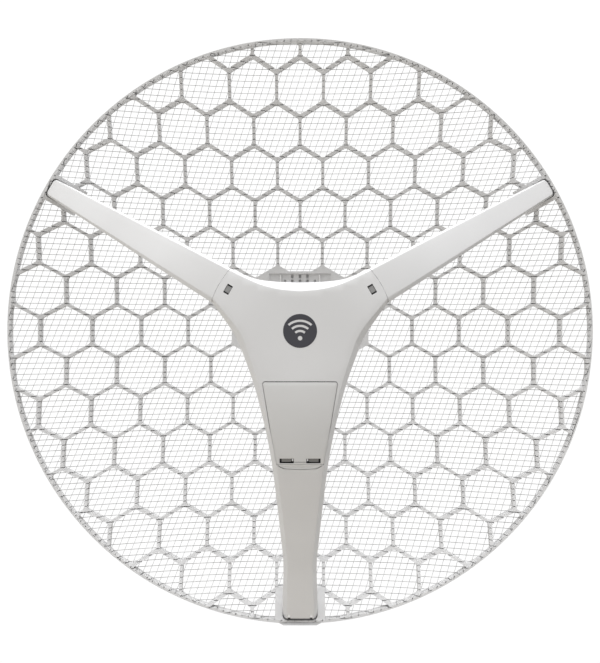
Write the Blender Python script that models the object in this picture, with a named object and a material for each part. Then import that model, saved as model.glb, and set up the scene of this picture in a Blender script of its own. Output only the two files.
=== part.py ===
"""Parabolic grid antenna on a tilting mast clamp.

The dish looks along -Y, +Z is up, and the mast's axis is the Z axis. Lengths below are in
millimetres and become metres when a mesh is made. Heights are measured from the dish's vertex
along its axis, towards the feed, so a height h lies at y = VERTEX_Y - h.
"""

from math import atan, cos, hypot, pi, radians, sin, sqrt

import bmesh
import bpy
from mathutils import Vector
from mathutils.geometry import delaunay_2d_cdt

MM = 0.001
GAP = 0.3

# Dish
DISH_R = 273.3
FOCAL = 200.0
VERTEX_Y = -115.0
CELL_PITCH = 44.9
RIB_WIDTH = 2.9
RIM_WALL = 2.6
RIB_FRONT = 6.0
RIB_BACK = 3.5
RIM_FRONT = 7.5
RIM_BACK = 4.5
HUB_CELLS_R = 46.0
HUB_BOSS_R = 48.0
HUB_FACE_Y = -98.0
HUB_BOLT_AT = 24.0
HUB_NOTCH_Z = 60.2
LIP_R = 274.9
LIP_HALF = 15.6
LIP_ROOT_HALF = 20.0
MESH_R = 268.5
MESH_HOLE_R = 68.0
MESH_THICK = 0.3

# Feed body, its leg and the two arms
FACE_H = 230.0
FACE_FLAT_R = 35.0
FACE_ARC_R = 173.5
FACE_ARC_END_R = 137.0
TIP_R = 269.2
TIP_H = 99.5
WALL = 2.5
GRID = 19.0
SEAM_R = 77.4
SEAM_GAP = 0.5
ARM_ANGLES = {"left": radians(150), "right": radians(30)}
LEG_ANGLE = radians(270)
ARM_ROOT_HALF = 16.2
ARM_TIP_HALF = 8.6
REAR_COVER_END_R = 226.0
LEG_SOLID_R = 236.0
SPLIT = 0.62
COVER_GAP = 0.6
BODY_DEPTH = 44.0
TIP_DEPTH = 22.0

# Sockets in the rim
POCKET_FLOOR = 2.5
POCKET_R = 253.0
SOCKET_R = 243.0
TIP_SCREW_R = 264.9

# Door over the cable compartment
DOOR_TOP_Z = -42.2
DOOR_TOP_HALF = 31.0
DOOR_END_Z = -112.0
DOOR_END_HALF = 20.2
DOOR_THICK = 2.2
LATCH_TOP_Z = -112.5
LATCH_END_Z = -116.6
HINGE_Z = DOOR_TOP_Z - 1.6
HINGE_H = 227.3

# Electronics
BOARD_H = 198.4
BOARD_THICK = 1.6

# Mast clamp
MAST_R = 25.4
SHEET = 3.0
CLAMP_WEB_Y = -37.0
CLAMP_HALF = 42.0
TILT_INNER_HALF = 42.5
PIVOT_Y = -60.0
PIVOT_Z = -18.0
LOCK_RADIUS = 40.0
TILT_LIMIT = radians(15)
BOLT_R = 3.85
BOLT_HOLE_R = 4.3
U_LEG_X = 31.0
U_LEVEL_Z = 40.0
U_BEND_Y = -1.4
U_END_Y = -48.0
FLANGE_Z = 51.7

OFF_WHITE = (0.60, 0.60, 0.59)
LIGHT_GREY = (0.52, 0.52, 0.51)
WIRE_GREY = (0.35, 0.35, 0.35)
ZINC = (0.62, 0.63, 0.64)
BOARD_GREEN = (0.03, 0.16, 0.07)
COPPER = (0.70, 0.38, 0.20)
BLACK = (0.02, 0.02, 0.02)


# ---------------------------------------------------------------- scene and materials

def clear_scene():
    for obj in list(bpy.data.objects):
        bpy.data.objects.remove(obj, do_unlink=True)


def material(name, colour, roughness, metallic):
    mat = bpy.data.materials.new(name)
    mat.use_nodes = True
    shader = mat.node_tree.nodes["Principled BSDF"]
    shader.inputs["Base Color"].default_value = (*colour, 1.0)
    shader.inputs["Roughness"].default_value = roughness
    shader.inputs["Metallic"].default_value = metallic
    return mat


def make_object(name, bm, pivot=(0.0, 0.0, 0.0)):
    """Turns a bmesh in millimetres into an object in metres whose origin is the pivot."""
    bmesh.ops.recalc_face_normals(bm, faces=bm.faces)
    for vert in bm.verts:
        vert.co = (vert.co - Vector(pivot)) * MM
    mesh = bpy.data.meshes.new(name)
    bm.to_mesh(mesh)
    bm.free()
    obj = bpy.data.objects.new(name, mesh)
    obj.location = Vector(pivot) * MM
    bpy.context.scene.collection.objects.link(obj)
    return obj


def node(name, bm, look, pivot=(0.0, 0.0, 0.0), smooth=30):
    """One sub-part: look is (colour, roughness, metallic)."""
    obj = make_object(name, bm, pivot)
    obj.data.materials.append(material(name, *look))
    obj.data.shade_smooth()
    obj.data.set_sharp_from_angle(angle=radians(smooth))
    return obj


def combine(obj, bm, operation, count=[0]):
    """Adds a Boolean to obj, with the given bmesh as its hidden second operand."""
    count[0] += 1
    tool = make_object(f"tool_{count[0]}_{obj.name}", bm, tuple(obj.location / MM))
    tool.hide_render = True
    tool.display_type = "WIRE"
    modifier = obj.modifiers.new(tool.name, "BOOLEAN")
    modifier.operation = operation
    modifier.object = tool
    modifier.solver = "EXACT"


def cut(obj, bm):
    combine(obj, bm, "DIFFERENCE")


def join(obj, bm):
    combine(obj, bm, "UNION")


# ---------------------------------------------------------------- outlines

def circle(radius, count, x=0.0, z=0.0):
    step = 2 * pi / count
    return [(x + radius * cos(i * step), z + radius * sin(i * step)) for i in range(count)]


def rectangle(x0, z0, x1, z1):
    return [(x0, z0), (x1, z0), (x1, z1), (x0, z1)]


def polar(points, angle):
    """Points given as (distance along a direction, distance to its left) in the XZ plane."""
    c, s = cos(angle), sin(angle)
    return [(r * c - t * s, r * s + t * c) for r, t in points]


def strip(r0, r1, half, angle):
    return polar([(r0, -half), (r1, -half), (r1, half), (r0, half)], angle)


def smooth_curve(points, per_span):
    """A Catmull-Rom curve through the points."""
    ends = [points[0], *points, points[-1]]
    out = []
    for a, b, c, d in zip(ends, ends[1:], ends[2:], ends[3:]):
        for i in range(per_span):
            t = i / per_span
            out.append(tuple(
                0.5 * (2 * q + (r - p) * t + (2 * p - 5 * q + 4 * r - s) * t * t
                       + (3 * q - p - 3 * r + s) * t ** 3)
                for p, q, r, s in zip(a, b, c, d)))
    return [*out, points[-1]]


def area(loop):
    return sum(a[0] * b[1] - b[0] * a[1] for a, b in zip(loop, loop[1:] + loop[:1])) / 2


def inset(loop, distance):
    """Moves each side of a closed outline inwards by the distance."""
    turn = 1 if area(loop) > 0 else -1
    count = len(loop)
    out = []
    for i, point in enumerate(loop):
        before = Vector(point) - Vector(loop[i - 1])
        after = Vector(loop[(i + 1) % count]) - Vector(point)
        n1 = Vector((-before.y, before.x)).normalized() * turn
        n2 = Vector((-after.y, after.x)).normalized() * turn
        corner = (n1 + n2) / max(0.3, 1 + n1.dot(n2))
        out.append(tuple(Vector(point) + corner * distance))
    return out


def fine(loop, step):
    """Splits the outline's long sides."""
    out = []
    for a, b in zip(loop, loop[1:] + loop[:1]):
        count = max(1, int(hypot(b[0] - a[0], b[1] - a[1]) / step + 0.5))
        out += [(a[0] + (b[0] - a[0]) * i / count, a[1] + (b[1] - a[1]) * i / count)
                for i in range(count)]
    return out


def clip(loop, limit):
    """The part of a convex outline inside a convex, counter-clockwise limit."""
    for a, b in zip(limit, limit[1:] + limit[:1]):
        def side(p):
            return (b[0] - a[0]) * (p[1] - a[1]) - (b[1] - a[1]) * (p[0] - a[0])
        kept = []
        for p, q in zip(loop, loop[1:] + loop[:1]):
            sp, sq = side(p), side(q)
            if sp >= 0:
                kept.append(p)
            if (sp >= 0) != (sq >= 0):
                t = sp / (sp - sq)
                kept.append((p[0] + (q[0] - p[0]) * t, p[1] + (q[1] - p[1]) * t))
        loop = kept
        if not loop:
            break
    return loop


# ---------------------------------------------------------------- solids

def slab(loops, front, back, grid=None):
    """A closed solid over an XZ outline with holes, between two surfaces y(x, z)."""
    points = []
    edges = []
    for loop in loops:
        start = len(points)
        points += [Vector(p) for p in loop]
        edges += [(start + i, start + (i + 1) % len(loop)) for i in range(len(loop))]
    if grid:
        inner = inset(loops[0], grid * 0.45)
        xs = [p[0] for p in inner]
        zs = [p[1] for p in inner]
        rows = int((max(zs) - min(zs)) / grid) + 1
        columns = int((max(xs) - min(xs)) / grid) + 1
        for row in range(rows + 1):
            for column in range(columns + 1):
                x = min(xs) + (column + 0.5 * (row % 2)) * grid
                z = min(zs) + row * grid
                if inside((x, z), inner):
                    points.append(Vector((x, z)))
    flat, _, faces, *_ = delaunay_2d_cdt(points, edges, [], 0, 1e-4)
    faces = [face for face in faces if in_region(sum((flat[i] for i in face), Vector((0, 0))) / 3, loops)]
    bm = bmesh.new()
    layers = [[bm.verts.new((x, surface(x, z), z)) for x, z in flat] for surface in (front, back)]
    borders = {}
    for face in faces:
        bm.faces.new([layers[0][i] for i in face])
        bm.faces.new([layers[1][i] for i in reversed(face)])
        for a, b in zip(face, face[1:] + face[:1]):
            borders[(a, b)] = borders.get((a, b), 0) + 1
    for a, b in borders:
        if (b, a) not in borders:
            bm.faces.new([layers[0][b], layers[0][a], layers[1][a], layers[1][b]])
    bmesh.ops.triangulate(bm, faces=[f for f in bm.faces if len(f.verts) > 3])
    bmesh.ops.delete(bm, geom=[v for v in bm.verts if not v.link_faces], context="VERTS")
    return bm


def inside(point, loop):
    """Whether a point lies in an outline, by counting the sides that it sees along +X."""
    x, z = point
    hit = False
    for (x0, z0), (x1, z1) in zip(loop, loop[1:] + loop[:1]):
        if (z0 > z) != (z1 > z) and x < x0 + (z - z0) * (x1 - x0) / (z1 - z0):
            hit = not hit
    return hit


def in_region(point, loops):
    return inside(point, loops[0]) and not any(inside(point, hole) for hole in loops[1:])


def prism(loop, axis, low, high):
    """Extrudes an outline along X (loop in y, z), Y (x, z) or Z (x, y)."""
    place = {"X": lambda p, q, d: (d, p, q), "Y": lambda p, q, d: (p, d, q),
             "Z": lambda p, q, d: (p, q, d)}[axis]
    bm = bmesh.new()
    rings = [[bm.verts.new(place(p, q, d)) for p, q in loop] for d in (low, high)]
    bm.faces.new(rings[0])
    bm.faces.new(reversed(rings[1]))
    for i in range(len(loop)):
        j = (i + 1) % len(loop)
        bm.faces.new([rings[0][i], rings[1][i], rings[1][j], rings[0][j]])
    return bm


def box(low, high):
    return prism(rectangle(low[0], low[1], high[0], high[1]), "Z", low[2], high[2])


def lathe(profile, origin, direction, count=16):
    """Turns (radius, distance along the axis) points; a profile is closed or ends on the axis."""
    axis = Vector(direction).normalized()
    side = axis.orthogonal().normalized()
    up = axis.cross(side)
    bm = bmesh.new()
    rings = []
    for radius, along in profile:
        centre = Vector(origin) + axis * along
        if radius == 0:
            rings.append([bm.verts.new(centre)])
            continue
        rings.append([bm.verts.new(centre + (side * cos(a) + up * sin(a)) * radius)
                      for a in (2 * pi * i / count for i in range(count))])
    closed = profile[0][0] != 0
    pairs = list(zip(rings, rings[1:]))
    if closed:
        pairs.append((rings[-1], rings[0]))
    for lower, upper in pairs:
        for i in range(count):
            j = (i + 1) % count
            corners = [lower[i % len(lower)], lower[j % len(lower)],
                       upper[j % len(upper)], upper[i % len(upper)]]
            bm.faces.new(list(dict.fromkeys(corners)))
    return bm


def rod(radius, origin, direction, low, high, count=16):
    return lathe([(0, low), (radius, low), (radius, high), (0, high)], origin, direction, count)


def ring(inner, outer, origin, direction, low, high, count=16):
    profile = [(inner, low), (outer, low), (outer, high), (inner, high)]
    return lathe(profile, origin, direction, count)


def post(x, z, radius, front, back):
    return slab([circle(radius, 12, x, z)], front, back)


# ---------------------------------------------------------------- shared surfaces

def dish_height(r):
    return r * r / (4 * FOCAL)


def dish_y(x, z, offset):
    """The reflector's surface, moved by the offset towards the feed."""
    return VERTEX_Y - dish_height(hypot(x, z)) - offset


def dish_surface(offset):
    return lambda x, z: dish_y(x, z, offset)


def face_height(r):
    """Front of the feed body and its limbs: flat, then a round shoulder, then straight."""
    if r <= FACE_FLAT_R:
        return FACE_H
    if r <= FACE_ARC_END_R:
        return FACE_H - FACE_ARC_R + sqrt(FACE_ARC_R ** 2 - (r - FACE_FLAT_R) ** 2)
    start = face_height(FACE_ARC_END_R)
    return start + (TIP_H - start) * (r - FACE_ARC_END_R) / (TIP_R - FACE_ARC_END_R)


def face_depth(r):
    """Front-to-back depth of the body, and of a limb at distance r."""
    part = min(1.0, max(0.0, (r - 45.0) / 155.0))
    return BODY_DEPTH + (TIP_DEPTH - BODY_DEPTH) * part


def back_height(r):
    """Back of the body and its limbs, which ends on the floor of a rim pocket."""
    return max(face_height(r) - face_depth(r), dish_height(r) - POCKET_FLOOR + GAP)


def face_surface(inward):
    return lambda x, z: VERTEX_Y - face_height(hypot(x, z)) + inward


def back_surface(outward):
    return lambda x, z: VERTEX_Y - back_height(hypot(x, z)) + outward


def split_surface(offset):
    """Where the front and rear covers meet."""
    def surface(x, z):
        r = hypot(x, z)
        return VERTEX_Y - face_height(r) + SPLIT * face_depth(r) + offset
    return surface


def arm_half(r):
    return ARM_ROOT_HALF + (ARM_TIP_HALF - ARM_ROOT_HALF) * (r - SEAM_R) / (TIP_R - SEAM_R)


def seam_arc(angle, radius, half, count=4):
    """Points on a circle about the dish's axis, across a limb."""
    reach = half / radius
    return [(radius * cos(angle + reach * (2 * i / count - 1)),
             radius * sin(angle + reach * (2 * i / count - 1))) for i in range(count + 1)]


LEG_SIDE = [(55.3, -2.0), (45.6, -24.0), (34.8, -57.5), (24.2, -110.0), (16.4, -190.0),
            (15.1, -216.0), (16.2, -252.0), (16.0, -TIP_R)]


def cover_outline(end_z):
    """Outline of the body with its leg, down to end_z."""
    seam = seam_arc(ARM_ANGLES["right"], SEAM_R, ARM_ROOT_HALF)
    side = smooth_curve([seam[0], *LEG_SIDE], 3)
    side = [p for p in side if p[1] > end_z + 2]
    half = side[-1][0]
    top = smooth_curve([seam[-1], (37.9, 43.6), (19.0, 41.0), (0.0, 40.4)], 3)
    right = [(half, end_z), *reversed(side), *seam[1:-1], *top]
    return right + [(-x, z) for x, z in reversed(right[:-1])]


# ---------------------------------------------------------------- dish

def hexagon(x, z, pitch):
    """Pointy-top hexagon, pitch being its width across the flats."""
    radius = pitch / sqrt(3)
    return [(x + radius * cos(pi / 6 + pi / 3 * i), z + radius * sin(pi / 6 + pi / 3 * i))
            for i in range(6)]


def cells():
    """Openings of the honeycomb, cut off by the rim; the hub's cells stay filled."""
    limit = circle(DISH_R - RIM_WALL + 0.4, 96)
    rows = int(DISH_R / CELL_PITCH * 2 / sqrt(3)) + 2
    columns = int(DISH_R / CELL_PITCH) + 2
    out = []
    for row in range(-rows, rows + 1):
        for column in range(-columns, columns + 1):
            x = (column + 0.5 * (row % 2)) * CELL_PITCH
            z = row * CELL_PITCH * sqrt(3) / 2
            if hypot(x, z) < HUB_CELLS_R or hypot(x, z) > DISH_R + CELL_PITCH:
                continue
            cell = clip(hexagon(x, z, CELL_PITCH - RIB_WIDTH), limit)
            if abs(x) < 1 and abs(z) < 2 * CELL_PITCH:
                side = 1 if z > 0 else -1
                notch = sorted((side * HUB_NOTCH_Z, side * 2 * CELL_PITCH * 1.2))
                cell = clip(cell, rectangle(-CELL_PITCH, notch[0], CELL_PITCH, notch[1]))
            if len(cell) > 2 and area(cell) > 60.0:
                out.append(cell)
    return out


def sockets():
    """Each rim socket: direction, half width outside and inside."""
    side = [(angle, 13.0, ARM_TIP_HALF + 0.9) for angle in ARM_ANGLES.values()]
    return [*side, (LEG_ANGLE, 23.5, 17.0)]


def local_normal(r, angle):
    """Point on the reflector at r, and the reflector's normal there, towards the feed."""
    slope = atan(r / (2 * FOCAL))
    point = (r * cos(angle), VERTEX_Y - dish_height(r), r * sin(angle))
    normal = (-sin(slope) * cos(angle), -cos(slope), -sin(slope) * sin(angle))
    return point, normal


def tip_screws():
    """Place of each screw that holds a limb's tip in the rim: name, point, normal."""
    out = {}
    for name, angle in ARM_ANGLES.items():
        out[f"{name}_arm_screw"] = local_normal(TIP_SCREW_R, angle)
    for name, x in (("left", -8.0), ("right", 8.0)):
        point, normal = local_normal(TIP_SCREW_R, LEG_ANGLE)
        out[f"leg_screw_{name}"] = ((x, point[1], point[2]), normal)
    return out


def hub_bolt_places():
    signs = ((-1, -1), (1, -1), (1, 1), (-1, 1))
    return [(sx * HUB_BOLT_AT, sz * HUB_BOLT_AT) for sx, sz in signs]


def build_reflector_frame():
    rim_line = circle(DISH_R - 1.2, 96)
    bm = slab([rim_line, *cells()], dish_surface(RIB_FRONT), dish_surface(-RIB_BACK))
    frame = node("reflector_frame", bm, (OFF_WHITE, 0.5, 0.0))
    rim = [circle(DISH_R, 96), circle(DISH_R - RIM_WALL, 96)]
    join(frame, slab(rim, dish_surface(RIM_FRONT), dish_surface(-RIM_BACK)))
    root_z = -sqrt(DISH_R ** 2 - LIP_ROOT_HALF ** 2)
    lip = [(-LIP_HALF, -LIP_R), (LIP_HALF, -LIP_R), (LIP_ROOT_HALF, root_z), (LIP_ROOT_HALF, -DISH_R + 2.0),
           (-LIP_ROOT_HALF, -DISH_R + 2.0), (-LIP_ROOT_HALF, root_z)]
    join(frame, slab([fine(lip, 8)], dish_surface(RIM_FRONT - 0.4), dish_surface(0.4 - RIM_BACK)))
    for angle, outer, inner in sockets():
        block = fine(strip(SOCKET_R, DISH_R - 1.5, outer, angle), 14)
        join(frame, slab([block], dish_surface(RIB_FRONT + 0.6), dish_surface(-7.0)))
        pocket = strip(POCKET_R, DISH_R - RIM_WALL, inner, angle)
        cut(frame, slab([fine(pocket, 10)], dish_surface(30.0), dish_surface(-POCKET_FLOOR)))
    wells = [circle(12.0, 12, x, z) for x, z in ((0, 29), (0, -29), (29, 0), (-29, 0))]
    boss = [circle(HUB_BOSS_R, 32), *wells, circle(12.0, 12)]
    join(frame, slab(boss, lambda x, z: VERTEX_Y - 1.0, lambda x, z: HUB_FACE_Y))
    for x, z in hub_bolt_places():
        cut(frame, rod(3.3, (x, HUB_FACE_Y, z), (0, -1, 0), -2.0, 12.0, 12))
    for point, normal in tip_screws().values():
        cut(frame, rod(2.3, point, normal, -12.0, 4.0, 12))


def build_reflector_mesh():
    outline = circle(MESH_R, 60)
    bm = slab([outline, circle(MESH_HOLE_R, 36)], dish_surface(-RIB_BACK - 1.2),
              dish_surface(-RIB_BACK - 1.2 - MESH_THICK), 34.0)
    mesh = node("reflector_mesh", bm, (WIRE_GREY, 0.4, 0.8))
    for angle, outer, _ in sockets():
        cut(mesh, prism(strip(SOCKET_R - 3, DISH_R + 5, outer + 3, angle), "Y", -260.0, -100.0))


# ---------------------------------------------------------------- feed body, leg and arms

def rear_screw_places():
    return [(-33.0, 22.0), (33.0, 22.0), (-13.0, -126.5), (13.0, -126.5)]


def rear_screw_seat(x, z):
    return back_surface(-WALL - 2.0)(x, z)


def board_screw_places():
    return [(-16.0, 27.0), (16.0, 27.0)]


def door_outline(grow):
    """Door and latch together, grown outwards by the clearance of their opening."""
    right = [(13.4, LATCH_END_Z), (16.9, -114.6), (19.4, LATCH_TOP_Z), (DOOR_END_HALF, DOOR_END_Z),
             (25.9, -75.0), (DOOR_TOP_HALF, DOOR_TOP_Z - 1.5), (DOOR_TOP_HALF - 1.5, DOOR_TOP_Z)]
    return inset(right + [(-x, z) for x, z in reversed(right)], -grow)


def build_front_cover():
    def back(x, z):
        leg_end = z < -LEG_SOLID_R
        return back_surface(0.0)(x, z) if leg_end else split_surface(0.0)(x, z)

    bm = slab([fine(cover_outline(-TIP_R), 16)], face_surface(0.0), back, GRID)
    cover = node("front_cover", bm, (OFF_WHITE, 0.45, 0.0))
    hollow = inset(cover_outline(-REAR_COVER_END_R), WALL)
    cut(cover, slab([fine(hollow, 16)], face_surface(WALL), face_surface(90.0), GRID))
    for x, z in rear_screw_places():
        join(cover, post(x, z, 3.2, face_surface(WALL - 1.0), split_surface(-0.5)))
        cut(cover, rod(1.3, (x, 0, z), (0, 1, 0), face_surface(WALL + 2.0)(x, z), -200.0, 12))
    board_seat = VERTEX_Y - BOARD_H - BOARD_THICK - GAP
    for x, z in board_screw_places():
        join(cover, post(x, z, 2.6, face_surface(WALL - 1.0), lambda x, z: board_seat))
        cut(cover, rod(1.0, (x, 0, z), (0, 1, 0), face_surface(WALL + 2.0)(x, z), -200.0, 12))
    cut(cover, slab([fine(door_outline(0.5), 16)], face_surface(-3.0), face_surface(6.0)))
    hinge = (0, VERTEX_Y - HINGE_H, HINGE_Z)
    cut(cover, rod(3.2, hinge, (1, 0, 0), -DOOR_TOP_HALF - 0.8, DOOR_TOP_HALF + 0.8, 16))
    cut(cover, rod(0.9, hinge, (1, 0, 0), -DOOR_TOP_HALF - 2.8, DOOR_TOP_HALF + 2.8, 12))
    for angle in ARM_ANGLES.values():
        slot = strip(SEAM_R - 9.4, SEAM_R + 4, 10.4, angle)
        cut(cover, slab([slot], face_surface(WALL + 0.4), face_surface(WALL + 5.3)))
        window = strip(66.5, 71.5, 4.1, angle)
        cut(cover, slab([window], face_surface(-3.0), face_surface(WALL + 1.0)))
    for name in ("leg_screw_left", "leg_screw_right"):
        point, normal = tip_screws()[name]
        cut(cover, rod(2.2, point, normal, -8.0, 10.5, 12))


def build_rear_cover():
    outline = fine(cover_outline(-REAR_COVER_END_R), 16)
    cover = node("rear_cover", slab([outline], split_surface(COVER_GAP), back_surface(0.0), GRID),
                 (OFF_WHITE, 0.45, 0.0))
    hollow = fine(inset(cover_outline(-REAR_COVER_END_R), WALL), 16)
    cut(cover, slab([hollow], face_surface(-10.0), back_surface(-WALL), GRID))
    outlet = rectangle(-6.5, -222.0, 6.5, -206.0)
    cut(cover, prism(outlet, "Y", -320.0, -180.0))
    for x, z in rear_screw_places():
        join(cover, post(x, z, 5.6, split_surface(COVER_GAP), back_surface(-1.0)))
        seat = rear_screw_seat(x, z)
        hole = [(0, -360), (1.4, -360), (1.4, seat), (4.4, seat), (4.4, -200), (0, -200)]
        cut(cover, lathe(hole, (x, 0, z), (0, 1, 0), 12))


def build_arm(side):
    angle = ARM_ANGLES[side]
    start = SEAM_R + SEAM_GAP
    stations = [start + (TIP_R - 1.5 - start) * i / 12 for i in range(13)]
    lower = [(r, -arm_half(r)) for r in stations]
    tip = [(TIP_R, -arm_half(TIP_R) + 2.0), (TIP_R, arm_half(TIP_R) - 2.0)]
    upper = [(r, arm_half(r)) for r in reversed(stations)]
    outline = polar(lower + tip + upper, angle) + seam_arc(angle, start, ARM_ROOT_HALF, 4)[1:-1][::-1]
    arm = node(f"{side}_arm", slab([outline], face_surface(0.0), back_surface(0.0), 14.0),
               (OFF_WHITE, 0.45, 0.0))
    hollow = [(start + 3, -arm_half(start) + WALL), (252.0, -arm_half(252.0) + WALL),
              (252.0, arm_half(252.0) - WALL), (start + 3, arm_half(start) - WALL)]
    cut(arm, slab([fine(polar(hollow, angle), 16)], face_surface(WALL), face_surface(90.0)))
    tongue = fine(strip(61.0, start + 2.0, 9.8, angle), 10)
    join(arm, slab([tongue], face_surface(WALL + 0.8), face_surface(WALL + 4.8)))
    hook = strip(67.0, 71.0, 3.7, angle)
    join(arm, slab([hook], face_surface(0.8), face_surface(WALL + 2.0)))
    point, normal = tip_screws()[f"{side}_arm_screw"]
    cut(arm, rod(2.2, point, normal, -8.0, 10.5, 12))


def build_tip_screws():
    for name, (point, normal) in tip_screws().items():
        profile = [(0, -10.4), (3.4, -10.4), (3.8, -9.6), (3.8, -7.9), (1.9, -7.9), (1.9, 10), (0, 10)]
        node(name, lathe(profile, point, normal, 14), (ZINC, 0.3, 1.0))


def build_door():
    hinge = (0, VERTEX_Y - HINGE_H, HINGE_Z)
    right = [(DOOR_END_HALF, DOOR_END_Z), (25.9, -75.0), (DOOR_TOP_HALF, DOOR_TOP_Z - 1.5),
             (DOOR_TOP_HALF - 1.5, DOOR_TOP_Z)]
    outline = right + [(-x, z) for x, z in reversed(right)]
    windows = [rectangle(side * 11.2 - 6, -111.1, side * 11.2 + 6, -107.2) for side in (-1, 1)]
    bm = slab([fine(outline, 12), *windows], face_surface(0.0), face_surface(DOOR_THICK), 12.0)
    door = node("port_door", bm, (LIGHT_GREY, 0.45, 0.0), hinge)
    reach = DOOR_TOP_HALF - 2.5
    join(door, rod(1.6, hinge, (1, 0, 0), -reach, reach, 12))
    cut(door, rod(0.9, hinge, (1, 0, 0), -reach - 4, reach + 4, 12))
    pin = rod(0.6, hinge, (1, 0, 0), -DOOR_TOP_HALF - 2.4, DOOR_TOP_HALF + 2.4, 10)
    node("door_hinge_pin", pin, (ZINC, 0.3, 1.0))
    right = [(13.4, LATCH_END_Z), (16.9, -114.6), (19.3, LATCH_TOP_Z)]
    outline = right + [(-x, z) for x, z in reversed(right)]
    latch = node("door_latch", slab([fine(outline, 8)], face_surface(0.3), face_surface(3.6)),
                 (LIGHT_GREY, 0.45, 0.0))
    hook = rectangle(-5.0, -116.2, 5.0, -113.0)
    join(latch, slab([hook], face_surface(2.0), face_surface(7.0)))


def build_cover_screws():
    for i, (x, z) in enumerate(rear_screw_places(), 1):
        seat = rear_screw_seat(x, z)
        reach = face_surface(WALL + 4.0)(x, z) - seat
        profile = [(0, 2.9), (3.0, 2.9), (3.5, 2.3), (3.5, GAP), (0.95, GAP), (0.95, reach), (0, reach)]
        node(f"rear_cover_screw_{i}", lathe(profile, (x, seat, z), (0, 1, 0), 14), (ZINC, 0.3, 1.0))
    for i, (x, z) in enumerate(board_screw_places(), 1):
        seat = VERTEX_Y - BOARD_H
        profile = [(0, 2.0), (2.2, 2.0), (2.4, 1.4), (2.4, GAP), (0.7, GAP), (0.7, -12.0), (0, -12.0)]
        node(f"board_screw_{i}", lathe(profile, (x, seat, z), (0, 1, 0), 12), (ZINC, 0.3, 1.0))


def build_electronics():
    board_y = VERTEX_Y - BOARD_H
    top_y = board_y - BOARD_THICK
    board = node("main_board", box((-21, top_y, -94), (21, board_y, 33)), (BOARD_GREEN, 0.5, 0.0))
    for x, z in board_screw_places():
        cut(board, rod(1.3, (x, 0, z), (0, 1, 0), top_y - 2, board_y + 2, 12))
    can = box((-15, top_y - 5.3, -28), (15, top_y - GAP, 14))
    node("shield_can", can, (ZINC, 0.35, 1.0))
    jack = node("ethernet_jack", box((-8.2, top_y - 13.6, -91), (8.2, top_y - GAP, -70)),
                (BLACK, 0.4, 0.0))
    cut(jack, box((-5.9, top_y - 12.0, -96), (5.9, top_y - 3.5, -76)))
    switch = box((12.5, top_y - 3.8, -90), (18.5, top_y - GAP, -84))
    node("reset_switch", switch, (BLACK, 0.4, 0.0))
    button = rod(1.6, (15.5, top_y - 4.6, -87), (0, -1, 0), 0.0, 3.0, 14)
    node("reset_button", button, (BLACK, 0.4, 0.0), (15.5, top_y - 4.6, -87))
    ground = node("ground_reflector", box((-32, board_y + 3.4, -34), (32, board_y + 4.4, 15)),
                  (ZINC, 0.35, 1.0))
    cut(ground, rod(1.6, (0, 0, 0), (0, 1, 0), board_y, board_y + 8, 12))
    plate_y = board_y + 7.6
    radiator = node("feed_radiator", box((-13, plate_y, -13), (13, plate_y + 0.8, 13)),
                    (COPPER, 0.35, 1.0))
    join(radiator, rod(1.1, (0, 0, 0), (0, 1, 0), board_y + GAP, plate_y + 0.4, 12))


# ---------------------------------------------------------------- mast clamp

def channel(half, web_near, web_far, cheek_end):
    """Plan of a U channel: its web lies between two y values, its cheeks end at cheek_end."""
    inner = half - SHEET
    return [(-half, web_near), (half, web_near), (half, cheek_end), (inner, cheek_end),
            (inner, web_far), (-inner, web_far), (-inner, cheek_end), (-half, cheek_end)]


def arc_slot(radius, half_width, reach, count=8):
    """Curved slot about the pivot, in y and z, reaching the angle on both sides of straight up."""
    def on_arc(r, a):
        return (PIVOT_Y + r * sin(a), PIVOT_Z + r * cos(a))

    def end(a, start, turn):
        cy, cz = on_arc(radius, a)
        return [(cy + half_width * cos(start + turn * pi * i / 6),
                 cz + half_width * sin(start + turn * pi * i / 6)) for i in range(1, 6)]

    angles = [reach * (2 * i / count - 1) for i in range(count + 1)]
    outer = [on_arc(radius + half_width, a) for a in angles]
    inner = [on_arc(radius - half_width, a) for a in reversed(angles)]
    first = end(reach, pi / 2 - reach, -1)
    last = end(-reach, -pi / 2 + reach, -1)
    return outer + first + inner + last


def build_tilt_bracket():
    half = TILT_INNER_HALF + SHEET
    web = HUB_FACE_Y + GAP
    bm = prism(channel(half, web, web + SHEET, -46.0), "Z", -36.0, 36.0)
    bracket = node("tilt_bracket", bm, (ZINC, 0.4, 1.0))
    cut(bracket, rod(BOLT_HOLE_R, (0, PIVOT_Y, PIVOT_Z), (1, 0, 0), -60, 60))
    cut(bracket, prism(arc_slot(LOCK_RADIUS, BOLT_HOLE_R, TILT_LIMIT), "X", -60, 60))
    for x, z in hub_bolt_places():
        cut(bracket, rod(3.4, (x, web, z), (0, 1, 0), -2, 6, 12))
    for i, (x, z) in enumerate(hub_bolt_places(), 1):
        face = web + SHEET + GAP
        head = [(0, 4.0), (5.2, 4.0), (5.2, 0.0), (2.95, 0.0), (2.95, -13.0), (0, -13.0)]
        node(f"hub_bolt_{i}", lathe(head, (x, face, z), (0, 1, 0), 12), (ZINC, 0.3, 1.0))


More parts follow.
